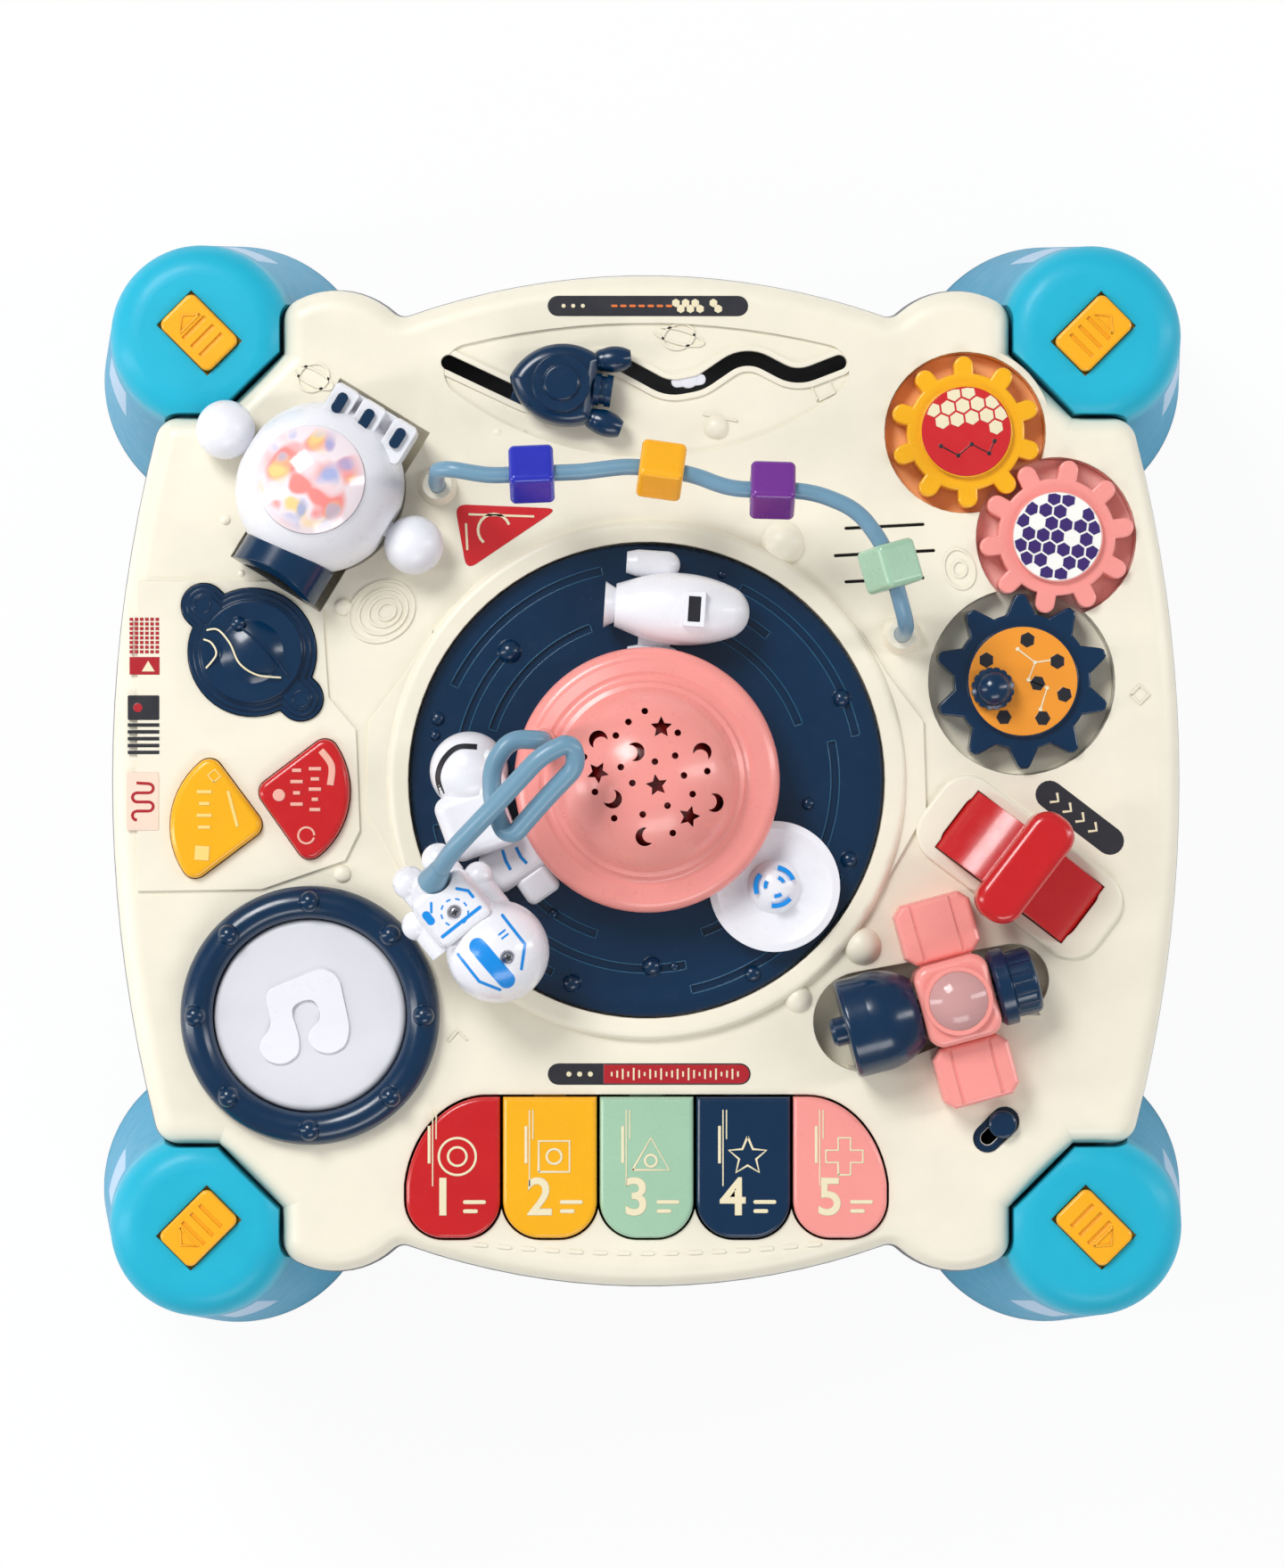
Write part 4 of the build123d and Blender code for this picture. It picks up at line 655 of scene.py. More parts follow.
def groove_highlight_lips():
    # a fine lip round each groove of the disc, coloured a lighter navy as a painted highlight on the groove's
    # edges; each ring has four grooves
    lit_edges = Plates(DISC_Z - 0.2, DISC_Z + 0.12)
    for radius, start in GROOVES:
        for quarter in range(4):
            first = start + quarter * 90.0
            last = first + GROOVE_ARC
            outline = circle_points(radius + GROOVE_HALF, 0, 0, 30, first, last)
            outline += circle_points(radius - GROOVE_HALF, 0, 0, 30, last, first)
            lit_edges.add(ribbon_points(closed(outline), 0.5))
    lit_edges.make("groove_highlight_lips", "turntable", "navy_plastic", [GROOVE_HIGHLIGHT_NAVY])


def rocket_window():
    top = DISC_Z + 25.0
    pane = turned_points(box_points(-2.2, 4.6, 4.4, 9.2)[::-1], -3.7, 17.5, 63.0)
    window = Plates(top - 0.6, top)
    window.add(rounded_polygon(pane, 0.5), bevel=0.1)
    window.make("rocket_window", "turntable", "white_plastic", [INK_BLACK])


def dish_marks():
    # a plain three-part fan on the hub of the dish, an outer and a higher inner row
    x, y = (47.6, -39.6)
    z = DISC_Z + 12.0
    marks = Plates(z - 0.9, z - 0.25)
    for start in (20.0, 140.0, 260.0):
        marks.add(ribbon_points(circle_points(7.2, x, y, 12, start, start + 62.0), 1.7))
        inner = ribbon_points(circle_points(3.6, x, y, 8, start + 6, start + 50.0), 1.4)
        marks.add(inner, low=z + 0.15, high=z + 0.62)
    marks.make("dish_marks", "turntable", "white_plastic", [INK_BLUE])


def suit_screws():
    # two screws in the wells of the astronaut's back, each with a cross slot painted black as shade
    slot_shades = Plates(0.0, 0.0)
    heads = []
    for x, y, floor in ((-70.46, -48.65, 251.5), (-51.03, -65.17, 254.0)):
        heads.append((x, y, floor - 0.2, 2.3, 1.2))
        # painted shade: each arm of the cross slot is a black plate, not a recess
        for turn, lift in ((20.0, 0.004), (110.0, 0.022)):
            slot_shades.add(stadium_points(2.6, 0.6, x, y, turn), low=floor + 0.6, high=floor + 1.04 + lift)
    studs("suit_screws", heads, "turntable", "steel")
    slot_shades.make("suit_screw_slot_shades", "turntable", "steel", [INK_BLACK])


# the sitting figure's helmet: its centre, the height of that centre and its radius
HELMET = (-66.0, 3.4)
HELMET_Z = 224.0
HELMET_RADIUS = 14.6
KNEE_Z = 223.1


def helmet_height(x, y):
    # top of the sitting figure's helmet at a place
    return HELMET_Z + max(0.0, HELMET_RADIUS ** 2 - (x - HELMET[0]) ** 2 - (y - HELMET[1]) ** 2) ** 0.5


def figure_marks():
    # a dark visor line on the sitting figure's helmet and two stripes on its knees
    visor = smooth_path([(-75.8, -5.4), (-77.4, 1.0), (-75.2, 7.4), (-70.0, 12.0), (-62.8, 12.2)])
    draped("figure_visor", [visor], 2.0, 0.25, helmet_height, "turntable", "white_plastic", [INK_BLACK])
    stripes = Plates(KNEE_Z - 0.2, KNEE_Z + 0.15)
    stripes.add(ribbon_points([(-53.6, -26.0), (-52.4, -30.0), (-50.6, -33.4)], 1.2))
    stripes.add(ribbon_points([(-48.6, -25.0), (-46.8, -28.6), (-44.6, -31.0)], 1.2))
    stripes.make("figure_stripes", "turntable", "white_plastic", [INK_BLUE])


studs("turntable_studs", px_studs(DISC_STUDS_PX, DISC_Z - 0.1, 0.7), "turntable", "navy_plastic")
groove_highlight_lips()
rocket_window()
dish_marks()
suit_screws()
figure_marks()


# ------------------------------ panel labels

def label_plates():
    # prints of a label: they stand out a little further than the label itself
    return Plates(PANEL_Z - PRINT_SUNK, PANEL_Z + PRINT_RISE)


def add_label(plates, x, y, length, width, turn=0.0):
    # a dark label with rounded ends
    outline = stadium_points(length, width, x, y, turn)
    plates.add(outline, low=PANEL_Z - LABEL_SUNK, high=PANEL_Z + 0.12, bevel=0.05)


def front_label():
    # a dark label whose longer part is red and carries sound bars
    x, y = (1.0, -109.8)
    length, width, split = (75.8, 8.0, -17.0)
    prints = label_plates()
    add_label(prints, x, y, length, width)
    radius = width / 2 - 0.5
    end = (length - width) / 2
    red = [(split, -radius), (end, -radius)]
    red += [(end + px, py) for px, py in circle_points(radius, 0, 0, 10, -90, 90)]
    red += [(end, radius), (split, radius)]
    prints.add(turned_points(red, 0.0, x, y), 1, low=PANEL_Z - LABEL_SUNK, high=PANEL_Z + 0.2)
    heights = (1.6, 2.6, 3.9, 2.0, 4.6, 3.0, 1.4, 3.6, 2.4, 4.2)
    for index in range(24):
        height = heights[index % len(heights)]
        left = x - 14.0 + index * 2.05 - 0.32
        prints.add(box_points(left, y + height / 2, 0.64, height), 2, high=PANEL_Z + 0.28)
    for shift in (-30.0, -26.0, -22.0):
        prints.add(circle_points(0.95, x + shift, y, 16), 2)
    prints.make("front_label", materials=[INK_DARK, INK_RED, INK_CREAM])


def top_label():
    # a dark label with two rows of cells, a line of dashes and three dots
    x, y = (0.5, 177.4)
    prints = label_plates()
    add_label(prints, x, y, 75.0, 7.6)
    for index, shift in enumerate((0.0, 3.6, 7.2, 14.0)):
        prints.add(hexagon(1.6, x + 10.5 + shift, y + 1.1025), 2)
        prints.add(hexagon(1.6, x + 12.3 + shift, y - 1.1025), 2)
    for index in range(7):
        prints.add(stadium_points(2.4, 0.9, -12.0 + index * 3.4, y), 3)
    for place in (-31.0, -27.4, -23.8):
        prints.add(circle_points(0.75, place, y, 16), 2)
    prints.make("top_label", materials=[INK_DARK, INK_RED, INK_CREAM, INK_ORANGE])


def lever_label():
    # a slanting dark label with four chevrons
    x, y, turn = (162.0, -14.0, -37.4)
    prints = label_plates()
    add_label(prints, x, y, 39.0, 10.5, turn)
    for shift in (-11.0, -5.0, 1.0, 7.0):
        chevron = ribbon_points([(shift - 1.4, 2.2), (shift + 0.9, 0.0), (shift - 1.4, -2.2)], 0.9)
        prints.add(turned_points(chevron, turn, x, y), 2)
    prints.make("lever_label", materials=[INK_DARK, INK_RED, INK_CREAM])


def turn_label():
    # red rounded triangle beside the turntable with a plain arc and two bars
    prints = Plates(PANEL_Z - LABEL_SUNK, PANEL_Z + 0.25)
    triangle = rounded_polygon([(-71.7, 103.2), (-33.0, 101.6), (-67.3, 78.4)], 4.5)
    prints.add(triangle, high=PANEL_Z + 0.15, bevel=0.05)
    prints.add(ribbon_points(circle_points(6.0, -57.0, 93.5, 12, 20, 230), 1.0), 1)
    prints.add(ribbon_points([(-66.5, 99.4), (-42.0, 98.6)], 0.8), 1)
    prints.add(ribbon_points([(-67.5, 96.0), (-67.0, 86.0)], 0.8), 1)
    prints.make("turn_label", materials=[STICKER_RED, INK_CREAM])


# upper left corners of the left band's plates in the photograph's pixels
NET_PX = (146, 693)
NET_PITCH_PX = (5.8, 5.2)
SIGN_PX = (146, 737)
DARK_PX = (144, 780)
ARCH_PX = (143, 866)
BAND_Z = PANEL_Z + 1.32


def side_decals():
    # three little plates with plain patterns on the raised left band
    prints = Plates(PANEL_Z + 0.9, BAND_Z)
    over = BAND_Z + 0.06
    # a net of squares over a block with a sign
    for row in range(8):
        for col in range(6):
            x, y = from_px(NET_PX[0] + col * NET_PITCH_PX[0], NET_PX[1] + row * NET_PITCH_PX[1])
            prints.add(box_points(x, y, 1.35, 1.2))
    x, y = from_px(*SIGN_PX)
    prints.add(box_points(x, y, 11.2, 6.6))
    prints.add([(x + 4.6, y - 5.4), (x + 9.4, y - 5.4), (x + 7.0, y - 1.4)], 3, high=over)
    # a dark block over stripes
    x, y = from_px(*DARK_PX)
    prints.add(rounded_polygon(box_points(x, y, 11.8, 9.2), 0.6), 1)
    prints.add(circle_points(1.7, x + 3.8, y - 4.6, 20), 0, high=over)
    for index in range(5):
        prints.add(box_points(x, y - 10.4 - index * 2.55, 11.8, 1.35), 1)
    # a pale plate with a winding line
    x, y = from_px(*ARCH_PX)
    prints.add(rounded_polygon(box_points(x, y, 12.0, 21.8), 0.8), 2)
    winding = [(x + 3.6, y - 4.0)]
    for index, (side, last) in enumerate(((1, -90), (-1, 270), (1, -90), (-1, 270))):
        winding += circle_points(1.7, x + 6.0 + side * 2.2, y - 6.0 - index * 3.4, 6, 90, last)
    prints.add(ribbon_points(winding, 1.1), 0, high=over)
    prints.make("side_decals", materials=[INK_RED, INK_DARK, INK_PLATE, INK_CREAM])


front_label()
top_label()
lever_label()
turn_label()
side_decals()


# ------------------------------ panel relief

# places in the photograph's pixels, and radii in pixels
PANEL_STUDS_PX = ((385, 681, 10), (271, 643, 4), (253, 583, 6), (384, 980, 10))
FIELD_STUDS_PX = ((558, 485, 8), (586, 486, 5))


def front_dashes():
    # a row of raised dashes along the curved front edge
    bow = 7.0
    reach = 62.0
    dashes = Plates(PANEL_Z - 0.3, PANEL_Z + 0.35)
    for index in range(15):
        x = -reach + index * 8.9
        y = -169.8 - bow * cos(x / reach)
        turn = bow / reach * sin(x / reach) * 57.3
        dashes.add(stadium_points(5.6, 1.5, x, y, turn), bevel=0.15)
    dashes.make("front_dashes")


def raised_lines(name, paths, base):
    lines = Plates(base - 0.3, base + 0.6)
    for path in paths:
        lines.add(ribbon_points(path, 0.9))
    lines.make(name)


def embossed_marks():
    # contour rings beside the planet button, then plain rings, a square, a chevron and a triangle
    paths = [ring_path(-99.0 + shift, 63.0, size, size * 0.82, 35.0)
             for shift, size in ((0.0, 13.0), (0.6, 9.6), (1.2, 6.4), (1.8, 3.6))]
    paths += [ring_path(-124.5, 150.5, 6.0, 5.0, 30.0),
              ring_path(-124.5, 150.5, 8.0, 2.8, -28.0, 200.0, 500.0),
              ring_path(117.0, 79.0, 5.6, 7.6, 18.0), ring_path(117.0, 79.0, 2.6, 3.0),
              closed([(181.0, 32.0), (184.5, 35.5), (188.0, 32.0), (184.5, 28.5)]),
              [(-74.0, -97.5), (-70.5, -93.5), (-67.0, -97.0)],
              closed([(138.0, -88.0), (143.0, -80.0), (147.5, -88.0)])]
    raised_lines("panel_marks", paths, PANEL_Z)
    field = [ring_path(12.0, 166.0, 6.0, 4.6, 20.0), ring_path(12.0, 166.0, 9.6, 2.6, -15.0, 190.0, 500.0),
             closed([(64.0, 142.0), (70.5, 145.0), (68.0, 151.0), (61.5, 148.0)]),
             [(60.0, 138.0), (75.0, 139.5)], [(21.0, 137.0), (34.0, 134.5)], [(22.0, 133.0), (30.0, 131.5)]]
    raised_lines("field_marks", field, FIELD_Z)


front_dashes()
embossed_marks()
field_studs = px_studs(FIELD_STUDS_PX, FIELD_Z - 0.1, 0.6)
studs("panel_studs", field_studs + px_studs(PANEL_STUDS_PX, PANEL_Z - 0.1, 0.6))


# ------------------------------ gears and their wells

GEAR_NAMES = ("yellow", "pink", "navy")
STICKER_RADIUS = {"yellow": 17.2, "pink": 17.0, "navy": 20.8}
WELL_RADIUS = {"yellow": 30.2, "pink": 30.0, "navy": 35.0}


def gear_centres():
    # the gears' axes as the frame's joints give them
    centres = {}
    for joint in frame["record"]["behaviour"]["joints"]:
        name = joint["child"].removeprefix("gear_")
        if name in GEAR_NAMES:
            centres[name] = (joint["pos_m"][0] / MM, joint["pos_m"][1] / MM)
    return centres


GEAR_CENTRES = gear_centres()


def hex_cells(x, y, radius, size, turn, skip):
    # a field of small hexagons inside a circle, some left out, those at the rim cut to it
    cells = []
    pitch = size * 1.86
    count = int(radius / pitch) + 2
    for row in range(-count, count + 1):
        for col in range(-count, count + 1):
            px = pitch * (col + 0.5 * (row % 2))
            py = pitch * 0.866 * row
            if hypot(px, py) > radius - size * 0.3 or skip(px, py, row, col):
                continue
            cell = []
            for corner_x, corner_y in hexagon(size * 0.93, px, py):
                inward = min(1.0, radius / hypot(corner_x, corner_y))
                cell.append((corner_x * inward, corner_y * inward))
            cells.append(turned_points(cell, turn, x, y))
    return cells


def gear_sticker(name):
    # the round label on a gear, ready for its prints
    x, y = GEAR_CENTRES[name]
    sticker = Plates(STICKER_Z - PRINT_SUNK, STICKER_Z + 0.2)
    disc = circle_points(STICKER_RADIUS[name] - 0.5, x, y, 64)
    sticker.add(disc, high=STICKER_Z + 0.12, bevel=0.05)
    return sticker, x, y


def add_dots(sticker, points, radius):
    for x, y in points:
        sticker.add(circle_points(radius, x, y, 12), 2, high=STICKER_Z + 0.25)


def yellow_sticker():
    # pale cells over the upper part and a zigzag with dots below
    sticker, x, y = gear_sticker("yellow")
    cells = hex_cells(x, y, STICKER_RADIUS["yellow"] - 0.9, 3.0, 8.0,
                      lambda px, py, row, col: py < 1.5 - 0.25 * px)
    sticker.add_all(cells, 1)
    zigzag = moved([(-9.5, -5.5), (-3.0, -9.0), (2.0, -4.8), (8.5, -8.2), (10.5, -3.6)], x, y)
    sticker.add(ribbon_points(zigzag, 0.5), 2)
    add_dots(sticker, zigzag, 0.8)
    sticker.make("gear_yellow_label", "gear_yellow", "yellow_plastic", [STICKER_RED, INK_CREAM, INK_BLACK])


def pink_sticker():
    # purple cells with a few left out
    sticker, x, y = gear_sticker("pink")
    gaps = ((1, -2), (0, 1), (-2, 0), (2, 1), (-3, 2))
    cells = hex_cells(x, y, STICKER_RADIUS["pink"] - 0.9, 2.9, -6.0,
                      lambda px, py, row, col: (row, col) in gaps)
    sticker.add_all(cells, 1)
    sticker.make("gear_pink_label", "gear_pink", "pink_plastic", [INK_WHITE, INK_PURPLE])


def navy_sticker():
    # black cells near the rim and a broken line with dots
    sticker, x, y = gear_sticker("navy")
    for angle, reach in ((84, 15.5), (30, 14.8), (-18, 16.2), (-62, 15.6), (-118, 15.2), (150, 15.8),
                         (-8, 5.5)):
        cell = hexagon(2.9, reach, 0.0, 0.0)
        sticker.add(turned_points(cell, angle, x, y), 1)
    line = moved([(-2.0, 12.0), (4.5, 7.0), (2.0, 0.5), (9.0, -2.5), (6.5, -10.5)], x, y)
    branch = moved([(4.5, 7.0), (11.0, 8.0)], x, y)
    sticker.add(ribbon_points(line, 0.55), 2)
    sticker.add(ribbon_points(branch, 0.55), 2)
    add_dots(sticker, line, 0.75)
    sticker.make("gear_navy_label", "gear_navy", "navy_plastic", [STICKER_ORANGE, INK_BLACK, INK_CREAM])


def well_lining(name, material, lift):
    # a thin coloured insert on a gear's well floor and wall, open where the wells run into each other;
    # the floors lie at slightly different heights, as they overlap
    steps = 72
    x, y = GEAR_CENTRES[name]
    outer = circle_points(WELL_RADIUS[name] - 0.2, x, y, steps)
    bm = bmesh.new()
    rim = ring_of_verts(bm, outer, PANEL_Z - 1.4)
    base = ring_of_verts(bm, outer, WELL_Z + lift)
    hub = ring_of_verts(bm, circle_points(4.0, x, y, steps), WELL_Z + lift)
    others = [(GEAR_CENTRES[other], WELL_RADIUS[other] + 0.6) for other in GEAR_NAMES if other != name]
    walled = [all(hypot(px - gx, py - gy) > reach for (gx, gy), reach in others) for px, py in outer]
    for i in range(steps):
        j = (i + 1) % steps
        bm.faces.new((base[i], base[j], hub[j], hub[i]))
        if walled[i] and walled[j]:
            bm.faces.new((rim[i], rim[j], base[j], base[i]))
    bmesh.ops.delete(bm, geom=[vert for vert in bm.verts if not vert.link_faces], context="VERTS")
    lining = worn_piece("well_" + name, bm, "root", "cream_shell", [material])
    thick = lining.modifiers.new("thickness", "SOLIDIFY")
    thick.thickness = 0.08 * MM
    thick.offset = 0.0


yellow_sticker()
pink_sticker()
navy_sticker()
well_lining("yellow", WELL_ORANGE, 0.08)
well_lining("pink", WELL_DUSTY, 0.15)
well_lining("navy", WELL_SAND, 0.22)


# ------------------------------ keys

SIGN_SCALE = 1.15


def star_path(outer, inner):
    points = []
    for step in range(11):
        reach = outer if step % 2 == 0 else inner
        angle = radians(90 + 36 * step)
        points.append((reach * cos(angle), reach * sin(angle)))
    return points


def key_signs():
    # plain line signs round their own middle: rings, a square, a triangle, a star and a cross
    arm = [(-2, -6), (2, -6), (2, -2)]
    cross = [point for quarter in range(4) for point in turned_points(arm, 90 * quarter)]
    return {"red": [ring_path(0, 0, 6.0, 6.0), ring_path(0, 0, 3.0, 3.0)],
            "yellow": [closed(box_points(-5, 5, 10, 10)[::-1]), ring_path(0, 0, 2.4, 2.4)],
            "sage": [closed([(-6, -4.4), (6, -4.4), (0, 6)]), ring_path(0, -1.4, 1.9, 1.9)],
            "navy": [star_path(6.4, 2.9)],
            "pink": [closed(cross)]}


KEY_SIGNS = key_signs()


def key_marks(index, name):
    # a key's number, its sign, three thin lines along its left side and two bars at its front
    x = (index - 2) * KEY_PITCH
    body = "key_" + name
    slot = name + "_plastic"
    prints = Plates(KEY_Z - 0.2, KEY_Z + 0.14)
    for place, back, front, width in ((x - 7.6, -123.0, -151.5, 0.5), (x - 8.9, -129.0, -143.0, 1.1),
                                      (x - 6.3, -123.0, -134.0, 0.5)):
        prints.add(ribbon_points([(place, back), (place, front)], width))
    for path in KEY_SIGNS[name]:
        grown = [(px * SIGN_SCALE, py * SIGN_SCALE) for px, py in path]
        prints.add(ribbon_points(moved(grown, x + 1.6, -140.4), 0.9))
    prints.add(stadium_points(8.6, 1.5, x + 8.0, -157.4))
    prints.add(stadium_points(5.6, 1.5, x + 6.5, -160.8))
    prints.make("key_marks_" + name, body, slot, [INK_CREAM])
    key_number(name, str(index + 1), x - 3.8, -162.0, body)


for key_index, key_name in enumerate(KEY_NAMES):
    key_marks(key_index, key_name)


# ------------------------------ drum and buttons

BUTTON_Z = PANEL_Z + 5.0
# the planet button's dome: its centre, its radius, the height of its foot and its rise
DOME = (-147.2, 47.8)
DOME_RADIUS = 18.8
DOME_Z = 219.0
DOME_RISE = 3.4


def drum_note():
    # an embossed pair of joined notes on the drum's skin
    corners = [(-142.4, -78.6), (-120.6, -69.8), (-114.6, -73.0), (-110.4, -92.6), (-112.2, -99.8),
               (-118.6, -102.4), (-125.0, -100.0), (-126.4, -94.0), (-120.6, -88.6), (-124.0, -80.8),
               (-133.0, -84.2), (-129.2, -96.0), (-129.4, -102.8), (-135.8, -106.4), (-142.6, -104.4),
               (-144.8, -98.2), (-139.4, -92.0)]
    note = Plates(PANEL_Z + 3.8, PANEL_Z + 5.0)
    note.add(rounded_polygon(corners, 4.0), bevel=0.4)
    note.make("drum_note", "drum", "white_plastic")


def dome_height(x, y):
    # top of the planet button's dome at a place
    reach = hypot(x - DOME[0], y - DOME[1])
    return DOME_Z + DOME_RISE * max(0.0, 1.0 - (reach / DOME_RADIUS) ** 2)


def planet_marks():
    # a small moon, a raised line across the dome, thin printed curves and a ring on each ear
    on_planet = ("planet", "navy_plastic")
    moon = (-152.0, 58.3)
    studs("planet_moon", [moon + (dome_height(*moon) - 0.3, 2.7, 2.2)], *on_planet)
    line = smooth_path([(-151.0, 57.0), (-145.0, 52.0), (-139.0, 46.0), (-133.4, 38.4)])
    draped("planet_line", [line], 0.7, 0.3, dome_height, *on_planet)
    curves = [smooth_path([(-163.8, 55.8), (-159.5, 55.9), (-154.9, 50.7), (-151.4, 43.4), (-144.9, 39.1),
                           (-136.0, 38.1)]),
              smooth_path([(-165.0, 52.4), (-161.9, 51.0), (-160.1, 46.7), (-164.0, 41.6)])]
    draped("planet_curves", curves, 0.7, 0.16, dome_height, *on_planet, [INK_CREAM])
    rings = Plates(BUTTON_Z, BUTTON_Z + 0.4)
    for x, y in ((-128.9, 30.3), (-165.5, 65.3)):
        rings.add(ribbon_points(ring_path(x, y, 3.0, 3.0), 0.5))
    rings.make("ear_rings", *on_planet)


def button_prints(name, outlines, ink, body, slot):
    # each print stands out a hair more than the one before, as they may overlap
    prints = Plates(BUTTON_Z - 0.2, BUTTON_Z + 0.14)
    for index, outline in enumerate(outlines):
        prints.add(outline, high=BUTTON_Z + 0.14 + 0.01 * index)
    prints.make(name, body, slot, [ink])


def mode_marks():
    arc = smooth_path([(-121.4, 11.1), (-117.4, 5.4), (-117.9, -1.9)])
    outlines = [ribbon_points(arc, 2.5), ribbon_points(circle_points(3.0, -126.8, -20.6, 24), 0.8),
                circle_points(2.3, -137.0, -5.6, 24)]
    outlines += bar_row(-123.6, 3.6, -3.8, (4.6, 3.2, 4.6, 2.4, 4.0))
    outlines += bar_row(-130.4, 3.0, -4.2, (3.4, 4.6, 2.6, 4.6))
    button_prints("mode_marks", outlines, INK_PINK, "mode", "red_plastic")


def tone_marks():
    square = turned_points(box_points(-2.7, 2.7, 5.4, 5.4), -4.0, -165.6, -27.2)
    diamond = turned_points(closed(box_points(-1.7, 1.7, 3.4, 3.4)[::-1]), 40.0, -161.1, 1.6)
    outlines = [square, ribbon_points(diamond, 0.7), ribbon_points([(-156.0, -4.0), (-152.4, -17.4)], 1.2)]
    outlines += bar_row(-164.8, -5.0, -4.4, (5.6, 4.0, 5.6, 4.6))
    button_prints("tone_marks", outlines, INK_SUN, "tone", "yellow_plastic")


def slot_insert():
    # pale stop plate in the wavy slot
    insert = Plates(PANEL_Z - 2.4, PANEL_Z - 1.0)
    insert.add(stadium_points(13.0, 4.2, 15.7, 149.6, 6.0), bevel=0.3)
    insert.add(stadium_points(6.4, 5.6, 15.7, 149.6, 6.0), high=PANEL_Z - 0.9, bevel=0.3)
    insert.make("slot_insert", "root", "grey_housing", [PALE_INSERT])


def switch_liner():
    # navy lining on the floor of the switch's slot
    ring = stadium_points(17.2, 8.1, 130.7, -130.7, 45.0)
    liner = Plates(PANEL_Z - 2.3, PANEL_Z - 1.88)
    liner.add(ribbon_points(closed(ring), 2.6))
    liner.make("switch_liner", "root", "navy_plastic")


drum_note()
planet_marks()
mode_marks()
tone_marks()
slot_insert()
switch_liner()


# ------------------------------ rattle and latches

RATTLE_AXIS_X = -123.5
RATTLE_AXIS_Y = 110.0
LATCH_Z = PANEL_Z + 4.5
# from the table's centre to the middle of a latch
LATCH_REACH = LEG_AXIS / MM * 2 ** 0.5
CORNERS = {"back_right": 45, "back_left": 135, "front_left": 225, "front_right": 315}


def rattle_cloud():
    # coloured balls under the rattle's window, in rings round its middle: ring radius and number of balls
    colours = [plastic("pearl_rose", (244, 120, 110)), plastic("pearl_gold", (250, 205, 110)),
               plastic("pearl_sky", (130, 160, 225)), plastic("pearl_milk", (250, 244, 240)),
               plastic("pearl_peach", (250, 165, 140))]
    bm = bmesh.new()
    made_count = 0
    for ring, count in ((0.0, 1), (5.6, 6), (11.2, 12), (15.8, 17)):
        z = PANEL_Z + 25.0 + 5.5 * cos(ring / 17.0 * pi / 2)
        for step in range(count):
            angle = 2 * pi * step / count + ring
            centre = Vector((RATTLE_AXIS_X + ring * cos(angle), RATTLE_AXIS_Y + ring * sin(angle), z)) * MM
            made = bmesh.ops.create_icosphere(bm, subdivisions=2, radius=2.9 * MM,
                                              matrix=Matrix.Translation(centre))
            pick = (made_count * 7 + step * 3) % len(colours)
            made_count += 1
            for face in {face for vert in made["verts"] for face in vert.link_faces}:
                face.material_index = pick
                face.smooth = True
    worn_piece("rattle_cloud", bm, "rattle", "pearl_mix", colours)


def latch_arrow(corner, turn):
    # a raised arrowhead on an orange latch
    triangle = [(LATCH_REACH + 4.6, -5.0), (LATCH_REACH + 9.0, 0.0), (LATCH_REACH + 4.6, 5.0)]
    arrow = Plates(LATCH_Z - 0.25, LATCH_Z + 0.4)
    arrow.add(turned_points(ribbon_points(closed(triangle), 0.9), turn), bevel=0.1)
    arrow.make("latch_arrow_" + corner, "latch_" + corner, "orange_plastic")


rattle_cloud()
for corner_name, corner_turn in CORNERS.items():
    latch_arrow(corner_name, corner_turn)


# ------------------------------ floor, light and camera (metres)

FLOOR_HALF = 6.0 / MM
FLOOR_DROP = 0.0005
FLOOR_DARK = (0.9, 0.9, 0.905, 1.0)
FLOOR_LIGHT = (0.93, 0.93, 0.93, 1.0)
FLOOR_GLOW = 0.93
SKY_COLOUR = (0.92, 0.95, 1.0, 1.0)
SKY_STRENGTH = 0.32
AIM = (0.0, 0.0, 0.2)
CAMERA_PLACE = (-0.017, -0.014, 2.112)
CAMERA_LENS = 116.7
SENSOR_HEIGHT = 36.0
# each lamp's place, its width and height, and its power: a large soft key from the back left, a strip on each
# side and a weak fill from the front
LAMPS = {"key": ((-0.9, 1.2, 1.9), (0.8, 0.8), 31.0),
         "strip_left": ((-1.6, -0.2, 0.9), (0.3, 1.6), 11.0),
         "strip_right": ((1.6, 0.3, 1.0), (0.3, 1.6), 10.0),
         "fill": ((0.4, -1.7, 1.4), (1.4, 0.6), 12.0)}


def floor_material():
    # a matt pale floor that glows for the camera, so that it fades into the white around it
    kit = Surface("pale_floor")
    pale = kit.mix(kit.ramp(kit.noise(scale=3.0), 0.3, 0.7), FLOOR_DARK, FLOOR_LIGHT)
    glow = kit.add("ShaderNodeEmission", {"Strength": 1.0})
    seen = kit.math("MULTIPLY", kit.add("ShaderNodeLightPath").outputs["Is Camera Ray"], FLOOR_GLOW)
    kit.show(seen, kit.shader.outputs["BSDF"], glow.outputs["Emission"], "Material Output")
    return kit.done({"Base Color": pale, "Roughness": 0.9})


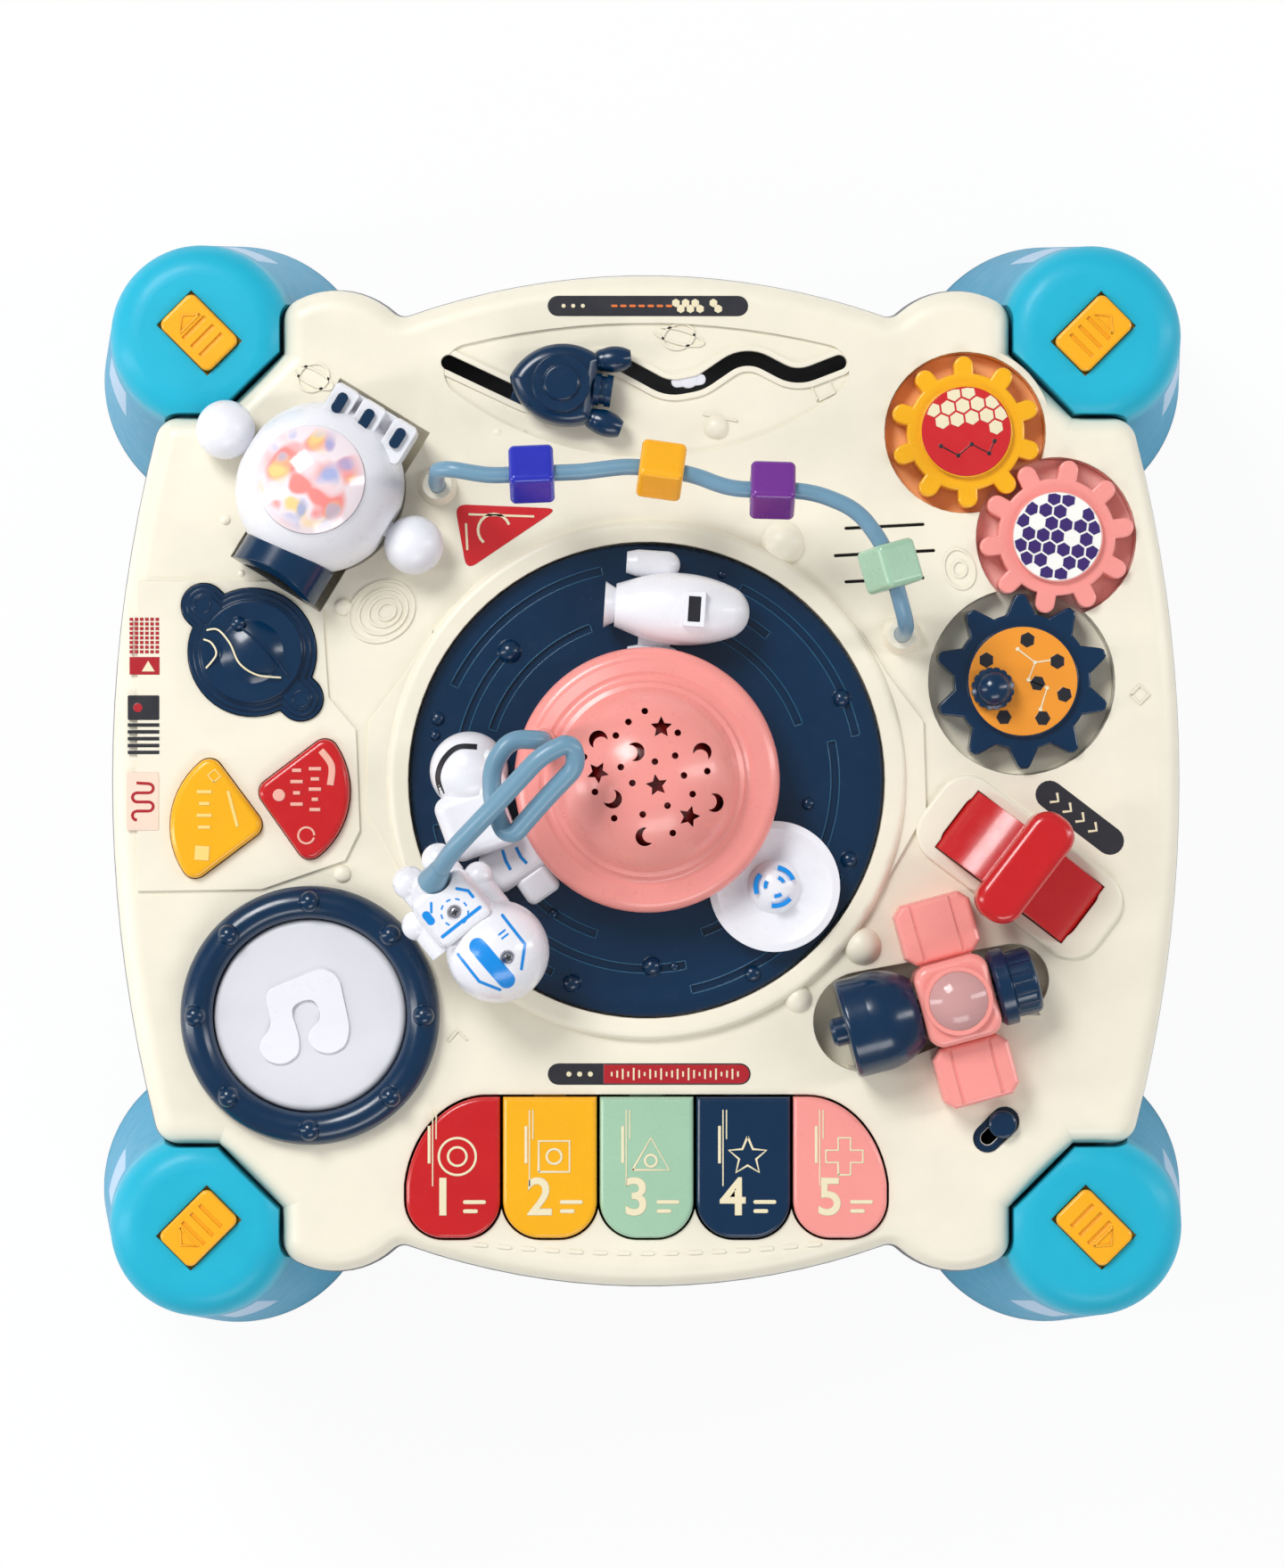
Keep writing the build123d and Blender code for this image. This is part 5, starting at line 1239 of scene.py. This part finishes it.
def make_floor():
    bm = bmesh.new()
    corners = box_points(-FLOOR_HALF, FLOOR_HALF, 2 * FLOOR_HALF, 2 * FLOOR_HALF)[::-1]
    bm.faces.new(ring_of_verts(bm, corners, 0.0))
    floor = mesh_object("floor", bm)
    floor.data.materials.append(floor_material())
    floor.location = (0.0, 0.0, -FLOOR_DROP)


def make_world():
    # a weak cool light all round; the camera itself sees white
    world = bpy.data.worlds.new("studio")
    bpy.context.scene.world = world
    kit = Nodes(world)
    back = kit.tree.nodes["Background"]
    kit.feed(back, {"Color": SKY_COLOUR, "Strength": SKY_STRENGTH})
    white = kit.add("ShaderNodeBackground", {"Color": (1.0, 1.0, 1.0, 1.0), "Strength": 1.0})
    seen = kit.add("ShaderNodeLightPath").outputs["Is Camera Ray"]
    kit.show(seen, back.outputs["Background"], white.outputs["Background"], "World Output")


def make_lamp(name, place, size, power):
    lamp = bpy.data.lights.new(name, "AREA")
    lamp.shape = "RECTANGLE"
    lamp.size = size[0]
    lamp.size_y = size[1]
    lamp.energy = power
    obj = placed(name, lamp)
    obj.location = place
    obj.rotation_euler = (Vector(AIM) - Vector(place)).to_track_quat("-Z", "Y").to_euler()


def make_camera():
    # almost straight down, its upper side towards +Y
    camera = bpy.data.cameras.new("photo_camera")
    camera.sensor_fit = "VERTICAL"
    camera.sensor_height = SENSOR_HEIGHT
    camera.sensor_width = SENSOR_HEIGHT * IMAGE_WIDTH / IMAGE_HEIGHT
    camera.lens = CAMERA_LENS
    camera.clip_start = 0.05
    camera.clip_end = 30.0
    obj = placed("photo_camera", camera)
    back = Vector(CAMERA_PLACE).normalized()
    right = Vector((0.0, 1.0, 0.0)).cross(back).normalized()
    turn = Matrix((right, back.cross(right), back)).transposed()
    obj.matrix_world = Matrix.Translation(CAMERA_PLACE) @ turn.to_4x4()
    bpy.context.scene.camera = obj


make_floor()
make_world()
for lamp_name, lamp_values in LAMPS.items():
    make_lamp(lamp_name, *lamp_values)
make_camera()
bpy.context.scene.view_settings.view_transform = "Standard"
